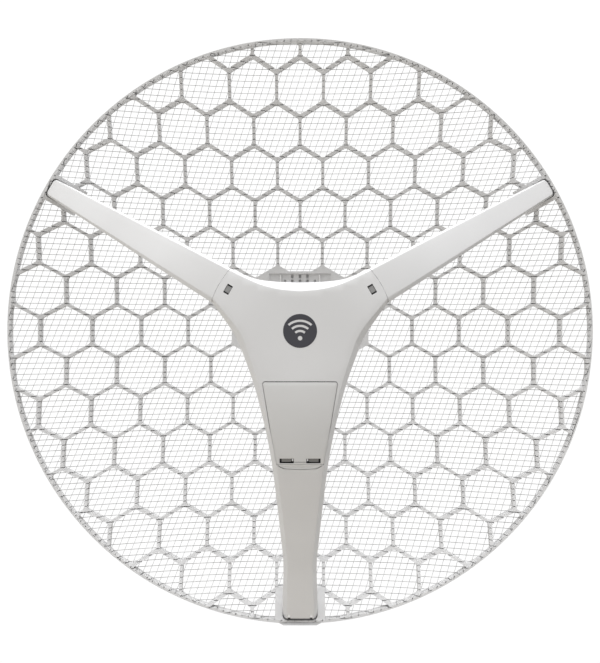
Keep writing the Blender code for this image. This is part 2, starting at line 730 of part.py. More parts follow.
def build_mast_bracket():
    bm = prism(channel(CLAMP_HALF, CLAMP_WEB_Y + SHEET, CLAMP_WEB_Y, -76.0), "Z", -55.0, 55.0)
    bracket = node("mast_bracket", bm, (ZINC, 0.4, 1.0))
    for low, high in ((33.0, 60.0), (-60.0, -33.0)):
        cut(bracket, box((-50, -90, low), (50, CLAMP_WEB_Y - 1.0, high)))
    apex = -MAST_R * sqrt(2)
    near, far = CLAMP_WEB_Y + SHEET + 0.6, -8.0
    right = [(CLAMP_HALF, CLAMP_WEB_Y + 1.5), (CLAMP_HALF, far), (far - apex, far), (near - apex, near)]
    flange = right + [(-x, y) for x, y in reversed(right)]
    for low in (FLANGE_Z, -FLANGE_Z - SHEET):
        join(bracket, prism(flange, "Z", low, low + SHEET))
    for z in (PIVOT_Z, PIVOT_Z + LOCK_RADIUS):
        cut(bracket, rod(BOLT_HOLE_R, (0, PIVOT_Y, z), (1, 0, 0), -60, 60))
    for x in (-U_LEG_X, U_LEG_X):
        for z in (-U_LEVEL_Z, U_LEVEL_Z):
            cut(bracket, rod(BOLT_HOLE_R, (x, 0, z), (0, 1, 0), -45, -20, 16))


def build_bolt(name, z):
    """A hex bolt through both brackets, with its washers and nut."""
    axis = (1, 0, 0)
    centre = (0, PIVOT_Y, z)
    cheek = TILT_INNER_HALF + SHEET + GAP
    seat = cheek + 1.6 + GAP
    shank_end = seat + 9.0
    head = [(0, -seat - 5.3), (7.5, -seat - 5.3), (7.5, -seat), (0, -seat)]
    bolt = node(f"{name}_bolt", lathe(head, centre, axis, 6), (ZINC, 0.3, 1.0))
    join(bolt, rod(BOLT_R, centre, axis, -seat - 1.0, shank_end))
    node(f"{name}_washer_left", ring(4.4, 8.0, centre, axis, -cheek - 1.6, -cheek), (ZINC, 0.3, 1.0))
    node(f"{name}_washer_right", ring(4.4, 8.0, centre, axis, cheek, cheek + 1.6), (ZINC, 0.3, 1.0))
    nut = node(f"{name}_nut", rod(7.5, centre, axis, seat, seat + 6.5, 6), (ZINC, 0.3, 1.0))
    cut(nut, rod(4.3, centre, axis, seat - 2, seat + 9))


def build_u_bolt(name, z):
    curve = bpy.data.curves.new(f"{name}_u_bolt", "CURVE")
    curve.dimensions = "3D"
    curve.bevel_depth = 3.9 * MM
    curve.bevel_resolution = 2
    curve.use_fill_caps = True
    turn = [pi * i / 16 for i in range(17)]
    bend = [(U_LEG_X * cos(a), U_BEND_Y + U_LEG_X * sin(a)) for a in turn]
    path = [(U_LEG_X, U_END_Y), *bend, (-U_LEG_X, U_END_Y)]
    spline = curve.splines.new("POLY")
    spline.points.add(len(path) - 1)
    for point, (x, y) in zip(spline.points, path):
        point.co = (x * MM, y * MM, z * MM, 1.0)
    curve.materials.append(material(f"{name}_u_bolt", ZINC, 0.3, 1.0))
    obj = bpy.data.objects.new(f"{name}_u_bolt", curve)
    bpy.context.scene.collection.objects.link(obj)
    seat = CLAMP_WEB_Y - GAP
    for side, x in (("left", -U_LEG_X), ("right", U_LEG_X)):
        centre = (x, seat, z)
        washer = ring(4.4, 8.0, centre, (0, -1, 0), 0, 1.6)
        node(f"{name}_u_washer_{side}", washer, (ZINC, 0.3, 1.0))
        nut = node(f"{name}_u_nut_{side}", rod(7.5, centre, (0, -1, 0), 1.6 + GAP, 8.1, 6),
                   (ZINC, 0.3, 1.0))
        cut(nut, rod(4.3, centre, (0, -1, 0), 0, 10))


def main():
    clear_scene()
    build_reflector_frame()
    build_reflector_mesh()
    build_front_cover()
    build_rear_cover()
    build_arm("left")
    build_arm("right")
    build_tip_screws()
    build_door()
    build_cover_screws()
    build_electronics()
    build_tilt_bracket()
    build_mast_bracket()
    build_bolt("pivot", PIVOT_Z)
    build_bolt("lock", PIVOT_Z + LOCK_RADIUS)
    build_u_bolt("upper", U_LEVEL_Z)
    build_u_bolt("lower", -U_LEVEL_Z)


main()
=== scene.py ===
"""Looks of the parabolic grid antenna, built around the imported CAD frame.

Lengths are in millimetres and become metres when a mesh is made. The dish looks along -Y.
"Height" is measured from the dish's vertex along its axis, towards the feed.
"""
from math import cos, hypot, pi, radians, sin, sqrt

import bmesh
import bpy
import numpy as np
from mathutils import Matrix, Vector
from mathutils.geometry import delaunay_2d_cdt


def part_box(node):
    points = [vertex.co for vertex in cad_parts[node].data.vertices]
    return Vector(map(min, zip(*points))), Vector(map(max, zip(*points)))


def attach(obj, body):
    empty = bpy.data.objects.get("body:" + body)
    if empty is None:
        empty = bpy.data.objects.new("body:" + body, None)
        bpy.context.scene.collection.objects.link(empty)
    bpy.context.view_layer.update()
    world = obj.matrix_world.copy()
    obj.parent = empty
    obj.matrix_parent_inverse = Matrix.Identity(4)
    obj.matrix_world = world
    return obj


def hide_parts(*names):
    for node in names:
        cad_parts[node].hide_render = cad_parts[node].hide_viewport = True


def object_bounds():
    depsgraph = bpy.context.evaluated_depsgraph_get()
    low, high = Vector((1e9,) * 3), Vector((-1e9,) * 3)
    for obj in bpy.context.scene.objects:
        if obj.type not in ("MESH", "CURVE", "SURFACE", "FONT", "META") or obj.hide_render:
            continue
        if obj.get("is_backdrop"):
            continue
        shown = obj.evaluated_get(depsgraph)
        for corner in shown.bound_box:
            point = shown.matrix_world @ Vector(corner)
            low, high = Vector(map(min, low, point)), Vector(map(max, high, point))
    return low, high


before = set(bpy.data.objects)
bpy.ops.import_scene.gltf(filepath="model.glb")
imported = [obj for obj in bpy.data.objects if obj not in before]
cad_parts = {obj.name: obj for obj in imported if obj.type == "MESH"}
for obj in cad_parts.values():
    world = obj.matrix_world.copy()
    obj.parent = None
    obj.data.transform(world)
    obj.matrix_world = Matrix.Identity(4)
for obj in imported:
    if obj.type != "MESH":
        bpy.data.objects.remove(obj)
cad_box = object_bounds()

MM = 0.001


def cad_box_mm(node):
    """A CAD node's lowest and highest corner in millimetres."""
    low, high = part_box(node)
    return [c / MM for c in low], [c / MM for c in high]


FRAME_LOW, FRAME_HIGH = cad_box_mm("reflector_frame")

# Dish
DISH_R = (FRAME_HIGH[0] - FRAME_LOW[0]) / 2
FOCAL = 200.0
HUB_FACE_Y = FRAME_HIGH[1]
VERTEX_Y = HUB_FACE_Y - 17.0
CELL_PITCH = 44.9
RIB_WIDTH = 2.9
RIM_WALL = 2.6
RIB_FRONT = 6.0
RIB_BACK = 3.5
RIM_FRONT = 7.5
RIM_BACK = 4.5
HUB_CELLS_R = 46.0
HUB_BOSS_R = 48.0
HUB_BOLT_AT = 24.0
HUB_NOTCH_Z = 60.2
HUB_PLATE_R = 70.0
CELL_CORNER_R = 3.2
LIP_R = -FRAME_LOW[2]
LIP_HALF = 15.6
LIP_ROOT_HALF = 20.0
LIP_SLOPE = 1.0
LIP_SLOPE_Z = 270.6
RIM_FLAT = 0.75
RIM_SIDES = 240
HUB_POST_X = 19.7

# Woven mesh: spacing of its two sets of wires, and how the bowl draws the slanted set in
LEVEL_PITCH = 5.1705
SLANT_PITCH = 6.404
SLANT = radians(20.39)
DRAW_IN = 2.5e-7
LEVEL_WIRE_R = 0.26
SLANT_WIRE_R = 0.18
LEVEL_WEAVE = 0.13
SLANT_WEAVE = 0.35
SLOT_HALF = 0.40
RIM_SLOT = 1.5
LEVEL_PHASE = 0.073
SLANT_PHASE = -0.047
WIRE_REACH = DISH_R + 8

# Feed body, its leg and the two arms
FACE_H = 230.0
FACE_FLAT_R = 35.0
FACE_ARC_R = 173.5
FACE_ARC_END_R = 137.0
TIP_R = 269.2
TIP_H = 99.5
TIP_ROUND = 3.0
WALL = 2.5
SEAM_R = 77.4
SEAM_GAP = 0.22
SIDES = ((-1, "left"), (1, "right"))
ARM_ANGLES = {"left": radians(150), "right": radians(30)}
LEG_ANGLE = radians(270)
ARM_ROOT_HALF = 16.2
ARM_TIP_HALF = 8.6
REAR_COVER_END_R = 226.0
SPLIT = 0.62
COVER_GAP = 0.6
BODY_DEPTH = 44.0
TIP_DEPTH = 22.0
POCKET_FLOOR = 2.5
POCKET_R = 253.0
SOCKET_R = 243.0


# ---------------------------------------------------------------- surfaces

def dish_height(r):
    return r * r / (4 * FOCAL)


def dish_y(x, z, offset):
    """The reflector's surface, moved by the offset towards the feed."""
    return VERTEX_Y - (x * x + z * z) / (4 * FOCAL) - offset


def face_height(r):
    """Front of the feed body and its limbs: flat, then a round shoulder, then straight."""
    if r <= FACE_FLAT_R:
        return FACE_H
    if r <= FACE_ARC_END_R:
        return FACE_H - FACE_ARC_R + sqrt(FACE_ARC_R ** 2 - (r - FACE_FLAT_R) ** 2)
    start = face_height(FACE_ARC_END_R)
    return start + (TIP_H - start) * (r - FACE_ARC_END_R) / (TIP_R - FACE_ARC_END_R)


def face_depth(r):
    part = min(1.0, max(0.0, (r - 45.0) / 155.0))
    return BODY_DEPTH + (TIP_DEPTH - BODY_DEPTH) * part


def back_height(r):
    return max(face_height(r) - face_depth(r), dish_height(r) - POCKET_FLOOR + 0.3)


def face_y(x, z, inward=0.0):
    return VERTEX_Y - face_height(hypot(x, z)) + inward


def split_y(x, z, offset=0.0):
    r = hypot(x, z)
    return VERTEX_Y - face_height(r) + SPLIT * face_depth(r) + offset


def back_y(x, z):
    return VERTEX_Y - back_height(hypot(x, z))


def on_face(loop, depth):
    """An outline laid at a depth below the front of the feed body."""
    return [(x, face_y(x, z, depth), z) for x, z in loop]


# ---------------------------------------------------------------- outlines

def circle(radius, count, x=0.0, z=0.0):
    step = 2 * pi / count
    return [(x + radius * cos(i * step), z + radius * sin(i * step)) for i in range(count)]


def rectangle(x0, z0, x1, z1):
    return [(x0, z0), (x1, z0), (x1, z1), (x0, z1)]


def polar(points, angle):
    c, s = cos(angle), sin(angle)
    return [(r * c - t * s, r * s + t * c) for r, t in points]


def strip(r0, r1, half, angle):
    return polar([(r0, -half), (r1, -half), (r1, half), (r0, half)], angle)


def smooth_curve(points, per_span):
    """A Catmull-Rom curve through the points."""
    ends = [points[0], *points, points[-1]]
    out = []
    for a, b, c, d in zip(ends, ends[1:], ends[2:], ends[3:]):
        for i in range(per_span):
            t = i / per_span
            out.append(tuple(
                0.5 * (2 * q + (r - p) * t + (2 * p - 5 * q + 4 * r - s) * t * t
                       + (3 * q - p - 3 * r + s) * t ** 3)
                for p, q, r, s in zip(a, b, c, d)))
    return [*out, points[-1]]


def area(loop):
    return sum(a[0] * b[1] - b[0] * a[1] for a, b in zip(loop, loop[1:] + loop[:1])) / 2


def inset(loop, distance):
    """Moves each side of a closed outline inwards by the distance."""
    turn = 1 if area(loop) > 0 else -1
    out = []
    for i, point in enumerate(loop):
        before = Vector(point) - Vector(loop[i - 1])
        after = Vector(loop[(i + 1) % len(loop)]) - Vector(point)
        n1 = Vector((-before.y, before.x)).normalized() * turn
        n2 = Vector((-after.y, after.x)).normalized() * turn
        corner = (n1 + n2) / max(0.3, 1 + n1.dot(n2))
        out.append(tuple(Vector(point) + corner * distance))
    return out


def fine(loop, step):
    """Splits the outline's long sides."""
    out = []
    for a, b in zip(loop, loop[1:] + loop[:1]):
        count = max(1, int(hypot(b[0] - a[0], b[1] - a[1]) / step + 0.5))
        out += [(a[0] + (b[0] - a[0]) * i / count, a[1] + (b[1] - a[1]) * i / count)
                for i in range(count)]
    return out


def rounded(loop, radius, steps=4):
    """A convex outline with round corners."""
    out = []
    for i, point in enumerate(loop):
        corner = Vector(point)
        before = Vector(loop[i - 1]) - corner
        after = Vector(loop[(i + 1) % len(loop)]) - corner
        half = before.angle(after) / 2
        reach = min(radius / np.tan(half), 0.45 * before.length, 0.45 * after.length)
        centre = corner + (before.normalized() + after.normalized()).normalized() * reach / cos(half)
        start = corner + before.normalized() * reach - centre
        end = corner + after.normalized() * reach - centre
        for k in range(steps + 1):
            way = start.lerp(end, k / steps).normalized() * start.length
            out.append(tuple(centre + way))
    return out


def clip(loop, limit):
    """The part of a convex outline inside a convex, counter-clockwise limit."""
    for a, b in zip(limit, limit[1:] + limit[:1]):
        sides = [(b[0] - a[0]) * (p[1] - a[1]) - (b[1] - a[1]) * (p[0] - a[0]) for p in loop]
        kept = []
        for p, q, sp, sq in zip(loop, loop[1:] + loop[:1], sides, sides[1:] + sides[:1]):
            if sp >= 0:
                kept.append(p)
            if (sp >= 0) != (sq >= 0):
                t = sp / (sp - sq)
                kept.append((p[0] + (q[0] - p[0]) * t, p[1] + (q[1] - p[1]) * t))
        loop = kept
        if not loop:
            break
    return loop


def points_inside(points, loop):
    """Which rows of an (n, 2) array lie in an outline."""
    x, z = points[:, 0], points[:, 1]
    hit = np.zeros(len(points), bool)
    for (x0, z0), (x1, z1) in zip(loop, loop[1:] + loop[:1]):
        if z0 == z1:
            continue
        crossed = ((z0 > z) != (z1 > z)) & (x < x0 + (z - z0) * (x1 - x0) / (z1 - z0))
        hit ^= crossed
    return hit


def triangulate(loops, extra=(), grid=None):
    """Triangles over loops[0] without the other loops: points (n, 2) and faces (m, 3)."""
    points = []
    edges = []
    for loop in loops:
        start = len(points)
        points += [Vector(p) for p in loop]
        edges += [(start + i, start + (i + 1) % len(loop)) for i in range(len(loop))]
    for a, b in extra:
        edges.append((len(points), len(points) + 1))
        points += [Vector(a), Vector(b)]
    if grid:
        limit = inset(loops[0], grid * 0.45)
        low = np.min(limit, axis=0)
        high = np.max(limit, axis=0)
        xs, zs = np.meshgrid(np.arange(low[0], high[0], grid), np.arange(low[1], high[1], grid))
        xs[1::2] += grid / 2
        spots = np.stack([xs.ravel(), zs.ravel()], axis=1)
        keep = points_inside(spots, limit)
        for hole in loops[1:]:
            keep &= ~points_inside(spots, inset(hole, -grid * 0.3))
        points += [Vector(p) for p in spots[keep]]
    flat, _, faces, *_ = delaunay_2d_cdt(points, edges, [], 0, 1e-4)
    flat = np.array([tuple(p) for p in flat])
    faces = np.array([f for f in faces if len(f) == 3])
    return flat, faces


def keep_region(flat, faces, loops):
    centres = flat[faces].mean(axis=1)
    keep = points_inside(centres, loops[0])
    for hole in loops[1:]:
        keep &= ~points_inside(centres, hole)
    return faces[keep]


# ---------------------------------------------------------------- mesh making

class Builder:
    """Collects vertices and faces in millimetres, then makes one mesh piece."""

    def __init__(self):
        self.verts = []
        self.faces = []

    def ring(self, points):
        start = len(self.verts)
        self.verts += [tuple(p) for p in points]
        return list(range(start, start + len(points)))

    def band(self, lower, upper):
        for i in range(len(lower)):
            j = (i + 1) % len(lower)
            self.faces.append((lower[i], lower[j], upper[j], upper[i]))

    def bands(self, rings):
        for lower, upper in zip(rings, rings[1:]):
            self.band(lower, upper)

    def cap(self, ring):
        self.faces.append(tuple(ring))

    def solid(self, loops):
        """Joins rows of points into a closed solid, capped at both ends."""
        rings = [self.ring(points) for points in loops]
        self.bands(rings)
        self.cap(rings[0])
        self.cap(rings[-1])

    def sheet(self, loops, grid, depth, surface=face_y):
        """Fills loops[0] without the others, at a depth below the surface."""
        flat, faces = triangulate(loops, grid=grid)
        faces = keep_region(flat, faces, loops)
        start = len(self.verts)
        self.verts += [(x, surface(x, z) + depth, z) for x, z in flat]
        self.faces += [tuple(start + i for i in face) for face in faces]

    def piece(self, name, mat, smooth=35.0, weld=0.0005):
        bm = bmesh.new()
        verts = [bm.verts.new(Vector(v) * MM) for v in self.verts]
        for face in self.faces:
            try:
                bm.faces.new([verts[i] for i in dict.fromkeys(face)])
            except ValueError:
                pass
        bmesh.ops.remove_doubles(bm, verts=bm.verts, dist=weld * MM)
        loose = [v for v in bm.verts if not v.link_faces]
        bmesh.ops.delete(bm, geom=loose, context="VERTS")
        bmesh.ops.recalc_face_normals(bm, faces=bm.faces)
        mesh = bpy.data.meshes.new(name)
        bm.to_mesh(mesh)
        bm.free()
        return finish_piece(name, mesh, mat, smooth)


def finish_piece(name, mesh, mat, smooth=35.0):
    mesh.materials.append(mat)
    mesh.shade_smooth()
    mesh.set_sharp_from_angle(angle=radians(smooth))
    obj = bpy.data.objects.new(name, mesh)
    bpy.context.scene.collection.objects.link(obj)
    return obj


def place(obj, body, slot, *nodes):
    """Rides the piece on its body and hides the CAD nodes that it stands for; the slot is not used."""
    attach(obj, body)
    if nodes:
        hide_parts(*nodes)
    return obj


def mesh_from_arrays(verts, faces):
    mesh = bpy.data.meshes.new("mesh")
    mesh.vertices.add(len(verts))
    mesh.vertices.foreach_set("co", np.asarray(verts, np.float32).ravel())
    size = faces.shape[1]
    mesh.loops.add(faces.size)
    mesh.loops.foreach_set("vertex_index", faces.ravel().astype(np.int32))
    mesh.polygons.add(len(faces))
    mesh.polygons.foreach_set("loop_start", np.arange(0, faces.size, size, dtype=np.int32))
    mesh.update(calc_edges=True)
    mesh.validate()
    return mesh


# ---------------------------------------------------------------- materials

class Look:
    """A material, with short ways to vary its colour, roughness and surface."""

    def __init__(self, name, colour, roughness, metallic=0.0):
        self.mat = bpy.data.materials.new(name)
        self.mat.use_nodes = True
        self.nodes = self.mat.node_tree.nodes
        self.links = self.mat.node_tree.links
        self.shader = self.nodes["Principled BSDF"]
        self.shader.inputs["Base Color"].default_value = (*colour, 1.0)
        self.shader.inputs["Roughness"].default_value = roughness
        self.shader.inputs["Metallic"].default_value = metallic

    def texture(self, kind, stretch=None, **settings):
        """A texture in the piece's own space."""
        spot = self.nodes.new("ShaderNodeTexCoord").outputs["Object"]
        if stretch:
            mapping = self.nodes.new("ShaderNodeMapping")
            mapping.inputs["Scale"].default_value = stretch
            self.links.new(spot, mapping.inputs["Vector"])
            spot = mapping.outputs["Vector"]
        node = self.nodes.new(kind)
        for name, value in settings.items():
            node.inputs[name.replace("_", " ")].default_value = value
        self.links.new(spot, node.inputs["Vector"])
        return node.outputs

    def noise(self, scale, detail=3.0, stretch=None):
        return self.texture("ShaderNodeTexNoise", stretch, Scale=scale, Detail=detail)["Fac"]

    def vary_colour(self, source, dark, light):
        ramp = self.nodes.new("ShaderNodeValToRGB")
        for element, colour, position in zip(ramp.color_ramp.elements, (dark, light), (0.3, 0.7)):
            element.color = (*colour, 1.0)
            element.position = position
        self.links.new(source, ramp.inputs["Fac"])
        self.links.new(ramp.outputs["Color"], self.shader.inputs["Base Color"])

    def vary_roughness(self, source, low, high):
        span = self.nodes.new("ShaderNodeMapRange")
        span.inputs["To Min"].default_value = low
        span.inputs["To Max"].default_value = high
        self.links.new(source, span.inputs["Value"])
        self.links.new(span.outputs["Result"], self.shader.inputs["Roughness"])

    def bump(self, source, strength, distance):
        bump = self.nodes.new("ShaderNodeBump")
        bump.inputs["Strength"].default_value = strength
        bump.inputs["Distance"].default_value = distance
        self.links.new(source, bump.inputs["Height"])
        self.links.new(bump.outputs["Normal"], self.shader.inputs["Normal"])


def moulded_plastic(name, colour, roughness=0.42, shade=0.025):
    """Injection-moulded plastic with a fine spark-eroded grain and a faint drift of colour."""
    look = Look(name, colour, roughness)
    dark = [c * (1 - shade) for c in colour]
    light = [min(1.0, c * (1 + shade)) for c in colour]
    look.vary_colour(look.noise(14.0, 4.0), dark, light)
    look.vary_roughness(look.noise(90.0), roughness - 0.05, roughness + 0.07)
    look.bump(look.noise(2600.0, 2.0), 0.14, 0.00012)
    return look.mat


def zinc_sheet(name):
    """Hot-dip galvanised sheet: soft spangles, each with its own tone."""
    look = Look(name, (0.55, 0.56, 0.57), 0.4, 1.0)
    cells = look.texture("ShaderNodeTexVoronoi", Scale=220.0, Randomness=0.9)
    tone = look.nodes.new("ShaderNodeSeparateColor")
    look.links.new(cells["Color"], tone.inputs["Color"])
    look.vary_colour(tone.outputs["Red"], (0.53, 0.54, 0.55), (0.62, 0.63, 0.64))
    look.vary_roughness(tone.outputs["Green"], 0.34, 0.48)
    look.bump(look.noise(420.0), 0.15, 0.0002)
    return look.mat


def plated_steel(name, colour=(0.62, 0.63, 0.65), roughness=0.26):
    """Bright plated metal with fine turning marks and faint stains."""
    look = Look(name, colour, roughness, 1.0)
    light = [min(1, c * 1.08) for c in colour]
    look.vary_colour(look.noise(160.0, 5.0), [c * 0.86 for c in colour], light)
    look.vary_roughness(look.noise(700.0), roughness - 0.06, roughness + 0.14)
    look.bump(look.noise(900.0, 2.0, (1, 8, 8)), 0.1, 0.0001)
    return look.mat


def drawn_wire(name):
    look = Look(name, (0.42, 0.42, 0.42), 0.42, 0.6)
    look.vary_colour(look.noise(60.0), (0.34, 0.34, 0.34), (0.5, 0.5, 0.5))
    look.vary_roughness(look.noise(1500.0), 0.34, 0.55)
    return look.mat


def circuit_board(name):
    """Green solder mask over faint copper tracks."""
    look = Look(name, (0.02, 0.13, 0.05), 0.3)
    tracks = look.texture("ShaderNodeTexBrick", Scale=160.0, Mortar_Size=0.04,
                          Color1=(0.015, 0.11, 0.04, 1), Color2=(0.02, 0.14, 0.055, 1),
                          Mortar=(0.05, 0.22, 0.09, 1))
    look.links.new(tracks["Color"], look.shader.inputs["Base Color"])
    look.bump(tracks["Fac"], 0.2, 0.00005)
    return look.mat


FRAME_PLASTIC = moulded_plastic("frame_plastic", (0.71, 0.71, 0.715), 0.5)
COVER_PLASTIC = moulded_plastic("cover_plastic", (0.728, 0.728, 0.733), 0.42)
DOOR_PLASTIC = moulded_plastic("door_plastic", (0.71, 0.71, 0.71), 0.45)
# a dark grey copy of the cover plastic: painted shade on the snap hooks inside their windows
SNAP_HOOK_PAINTED_SHADE = moulded_plastic("snap_hook_painted_shade", (0.3, 0.3, 0.3), 0.4)
CATCH_PLASTIC = moulded_plastic("catch_plastic", (0.2, 0.2, 0.195), 0.4)
BADGE_INK = moulded_plastic("badge_ink", (0.05, 0.05, 0.062), 0.35, shade=0.08)
# a near-white copy of the frame and cover plastic: a painted highlight on the hub posts and the leg catches
PAINTED_HIGHLIGHT_PLASTIC = moulded_plastic("painted_highlight_plastic", (0.93, 0.93, 0.93), 0.35)
# near-black plastic: the real colour of the jack and the reset switch, and painted shade in the snap
# windows, behind the door's windows and in the leg's holes
BLACK_PLASTIC_AND_PAINTED_SHADE = moulded_plastic("black_plastic", (0.01, 0.01, 0.012), 0.35, shade=0.1)
WIRE = drawn_wire("wire_mesh")
GALVANISED = zinc_sheet("galvanised_steel")
ZINC = plated_steel("zinc_fastener")
TINNED = plated_steel("tinned_sheet", (0.7, 0.7, 0.69), 0.3)
COPPER = plated_steel("copper_plate", (0.75, 0.42, 0.26), 0.3)
BOARD = circuit_board("circuit_board")


# ---------------------------------------------------------------- honeycomb frame

def hexagon(x, z, pitch):
    radius = pitch / sqrt(3)
    return [(x + radius * cos(pi / 6 + pi / 3 * i), z + radius * sin(pi / 6 + pi / 3 * i))
            for i in range(6)]


def cell_centres():
    rows = int(DISH_R / CELL_PITCH * 2 / sqrt(3)) + 2
    columns = int(DISH_R / CELL_PITCH) + 2
    for row in range(-rows, rows + 1):
        for column in range(-columns, columns + 1):
            x = (column + 0.5 * (row % 2)) * CELL_PITCH
            z = row * CELL_PITCH * sqrt(3) / 2
            if HUB_CELLS_R < hypot(x, z) < DISH_R + CELL_PITCH:
                yield x, z


def cells():
    """Openings of the honeycomb with round corners, cut off by the rim and at the hub."""
    limit = circle(DISH_R - RIM_WALL, RIM_SIDES)
    out = []
    for x, z in cell_centres():
        cell = clip(hexagon(x, z, CELL_PITCH - RIB_WIDTH), limit)
        if abs(x) < 1 and abs(z) < 2 * CELL_PITCH:
            low, high = (HUB_NOTCH_Z, 400) if z > 0 else (-400, -HUB_NOTCH_Z)
            cell = clip(cell, rectangle(-200, low, 200, high))
        if len(cell) > 2 and area(cell) > 60.0:
            out.append(cell)
    return out


def sockets():
    """Angle, half width outside and half width inside of each socket at the rim."""
    side = [(angle, 13.0, ARM_TIP_HALF + 0.9) for angle in ARM_ANGLES.values()]
    return [*side, (LEG_ANGLE, 23.5, 16.4)]


def stretch(u, w):
    """Where a point of the flat wire sheet ends up in the dish, seen along its axis."""
    return u * (1 - DRAW_IN * u * u), w


def unstretch(x, z):
    u = x.copy()
    for _ in range(6):
        u = x / (1 - DRAW_IN * u * u)
    return u, z


def wire_numbers():
    """Numbers of the level wires and of the slanted wires that can cross the dish."""
    levels = int(WIRE_REACH / LEVEL_PITCH)
    slants = int((WIRE_REACH + WIRE_REACH * np.tan(SLANT)) / SLANT_PITCH) + 1
    return range(-levels, levels + 1), range(-slants, slants + 1)


def wire_lines():
    """Each wire on the flat sheet: (is level, points along it as (u, w))."""
    span = np.arange(-WIRE_REACH, WIRE_REACH, 1.0)
    levels, slants = wire_numbers()
    for k in levels:
        yield True, np.stack([span, np.full_like(span, (k + LEVEL_PHASE) * LEVEL_PITCH)], axis=1)
    for j in slants:
        yield False, np.stack([span * np.tan(SLANT) + (j + SLANT_PHASE) * SLANT_PITCH, span], axis=1)


def solid_web(points, polygons):
    """Which points lie on ribs or on the rim's inner edge, outside every opening."""
    x, z = points[:, 0], points[:, 1]
    on = np.hypot(x, z) < DISH_R - RIM_WALL + RIM_SLOT
    for loop in polygons:
        low, high = np.min(loop, axis=0), np.max(loop, axis=0)
        near = (x > low[0]) & (x < high[0]) & (z > low[1]) & (z < high[1]) & on
        index = np.nonzero(near)[0]
        if len(index):
            on[index[points_inside(points[index], loop)]] = False
    return on


def slot_lines(polygons):
    """Both edges of each slot that a wire's crossing leaves in a rib."""
    grown = [inset(loop, 0.9) for loop in polygons]
    out = []
    for level, flat in wire_lines():
        direction = np.array([1.0, 0.0]) if level else np.array([sin(SLANT), cos(SLANT)])
        across = np.array([-direction[1], direction[0]]) * SLOT_HALF
        x, z = stretch(flat[:, 0], flat[:, 1])
        near_rim = np.hypot(x, z) > DISH_R - RIM_WALL - 1.0
        on = solid_web(np.stack([x, z], axis=1), grown) & (np.hypot(x, z) > HUB_PLATE_R)
        if not level:
            on &= near_rim
        starts = np.nonzero(np.diff(on.astype(int)) == 1)[0] + 1
        ends = np.nonzero(np.diff(on.astype(int)) == -1)[0] + 1
        for a, b in zip(starts, ends):
            if b - a < 2:
                continue
            for side in (-1, 1):
                p, q = flat[a] + across * side, flat[b - 1] + across * side
                out.append((stretch(*p), stretch(*q)))
    return out


def on_slot(points):
    """Which points lie within a slot's width of a level wire, or at the rim of any wire."""
    u, w = unstretch(points[:, 0], points[:, 1])
    level = (w / LEVEL_PITCH - LEVEL_PHASE + 0.5) % 1.0 - 0.5
    slant = ((u - w * np.tan(SLANT)) / SLANT_PITCH - SLANT_PHASE + 0.5) % 1.0 - 0.5
    radius = np.hypot(points[:, 0], points[:, 1])
    on_slant = np.abs(slant) * SLANT_PITCH * cos(SLANT) < SLOT_HALF * 1.02
    on_level = np.abs(level) * LEVEL_PITCH < SLOT_HALF * 1.02
    return (radius > HUB_PLATE_R) & (on_level | (on_slant & (radius > DISH_R - RIM_WALL)))


# Front and back offsets from the reflector's surface of each kind of area of the frame;
# None stands for the flat face that bolts to the bracket.
LEVELS = {
    "rib": (RIB_FRONT, -RIB_BACK), "slot": (-0.5, -RIB_BACK), "rim": (RIM_FRONT, -RIM_BACK),
    "socket": (RIB_FRONT + 0.6, -7.0), "pocket": (-POCKET_FLOOR, -7.0),
    "boss": (RIB_FRONT, None), "rim_slot": (-0.5, -RIM_BACK), "hub_step": (RIB_FRONT - 2.0, -RIB_BACK),
    "hub_deep": (RIB_FRONT - 5.3, -RIB_BACK),
    "lip": (RIM_FRONT - 0.4, 0.4 - RIM_BACK), "lip_step": (RIM_FRONT - 0.7, 0.4 - RIM_BACK),
}


def level_order(value):
    return -100.0 if value is None else value


def level_height(value, x, z):
    if value is None:
        return HUB_FACE_Y
    r = hypot(x, z)
    wall = r - (DISH_R - RIM_WALL)
    if value > 0.0 and wall > 0.05:
        flatter = (r - RIM_FLAT * wall) / r
        slope = LIP_SLOPE * max(0.0, -LIP_SLOPE_Z - z) if abs(x) < LIP_HALF else 0.0
        return dish_y(x * flatter, z * flatter, value) + slope
    return dish_y(x, z, value)


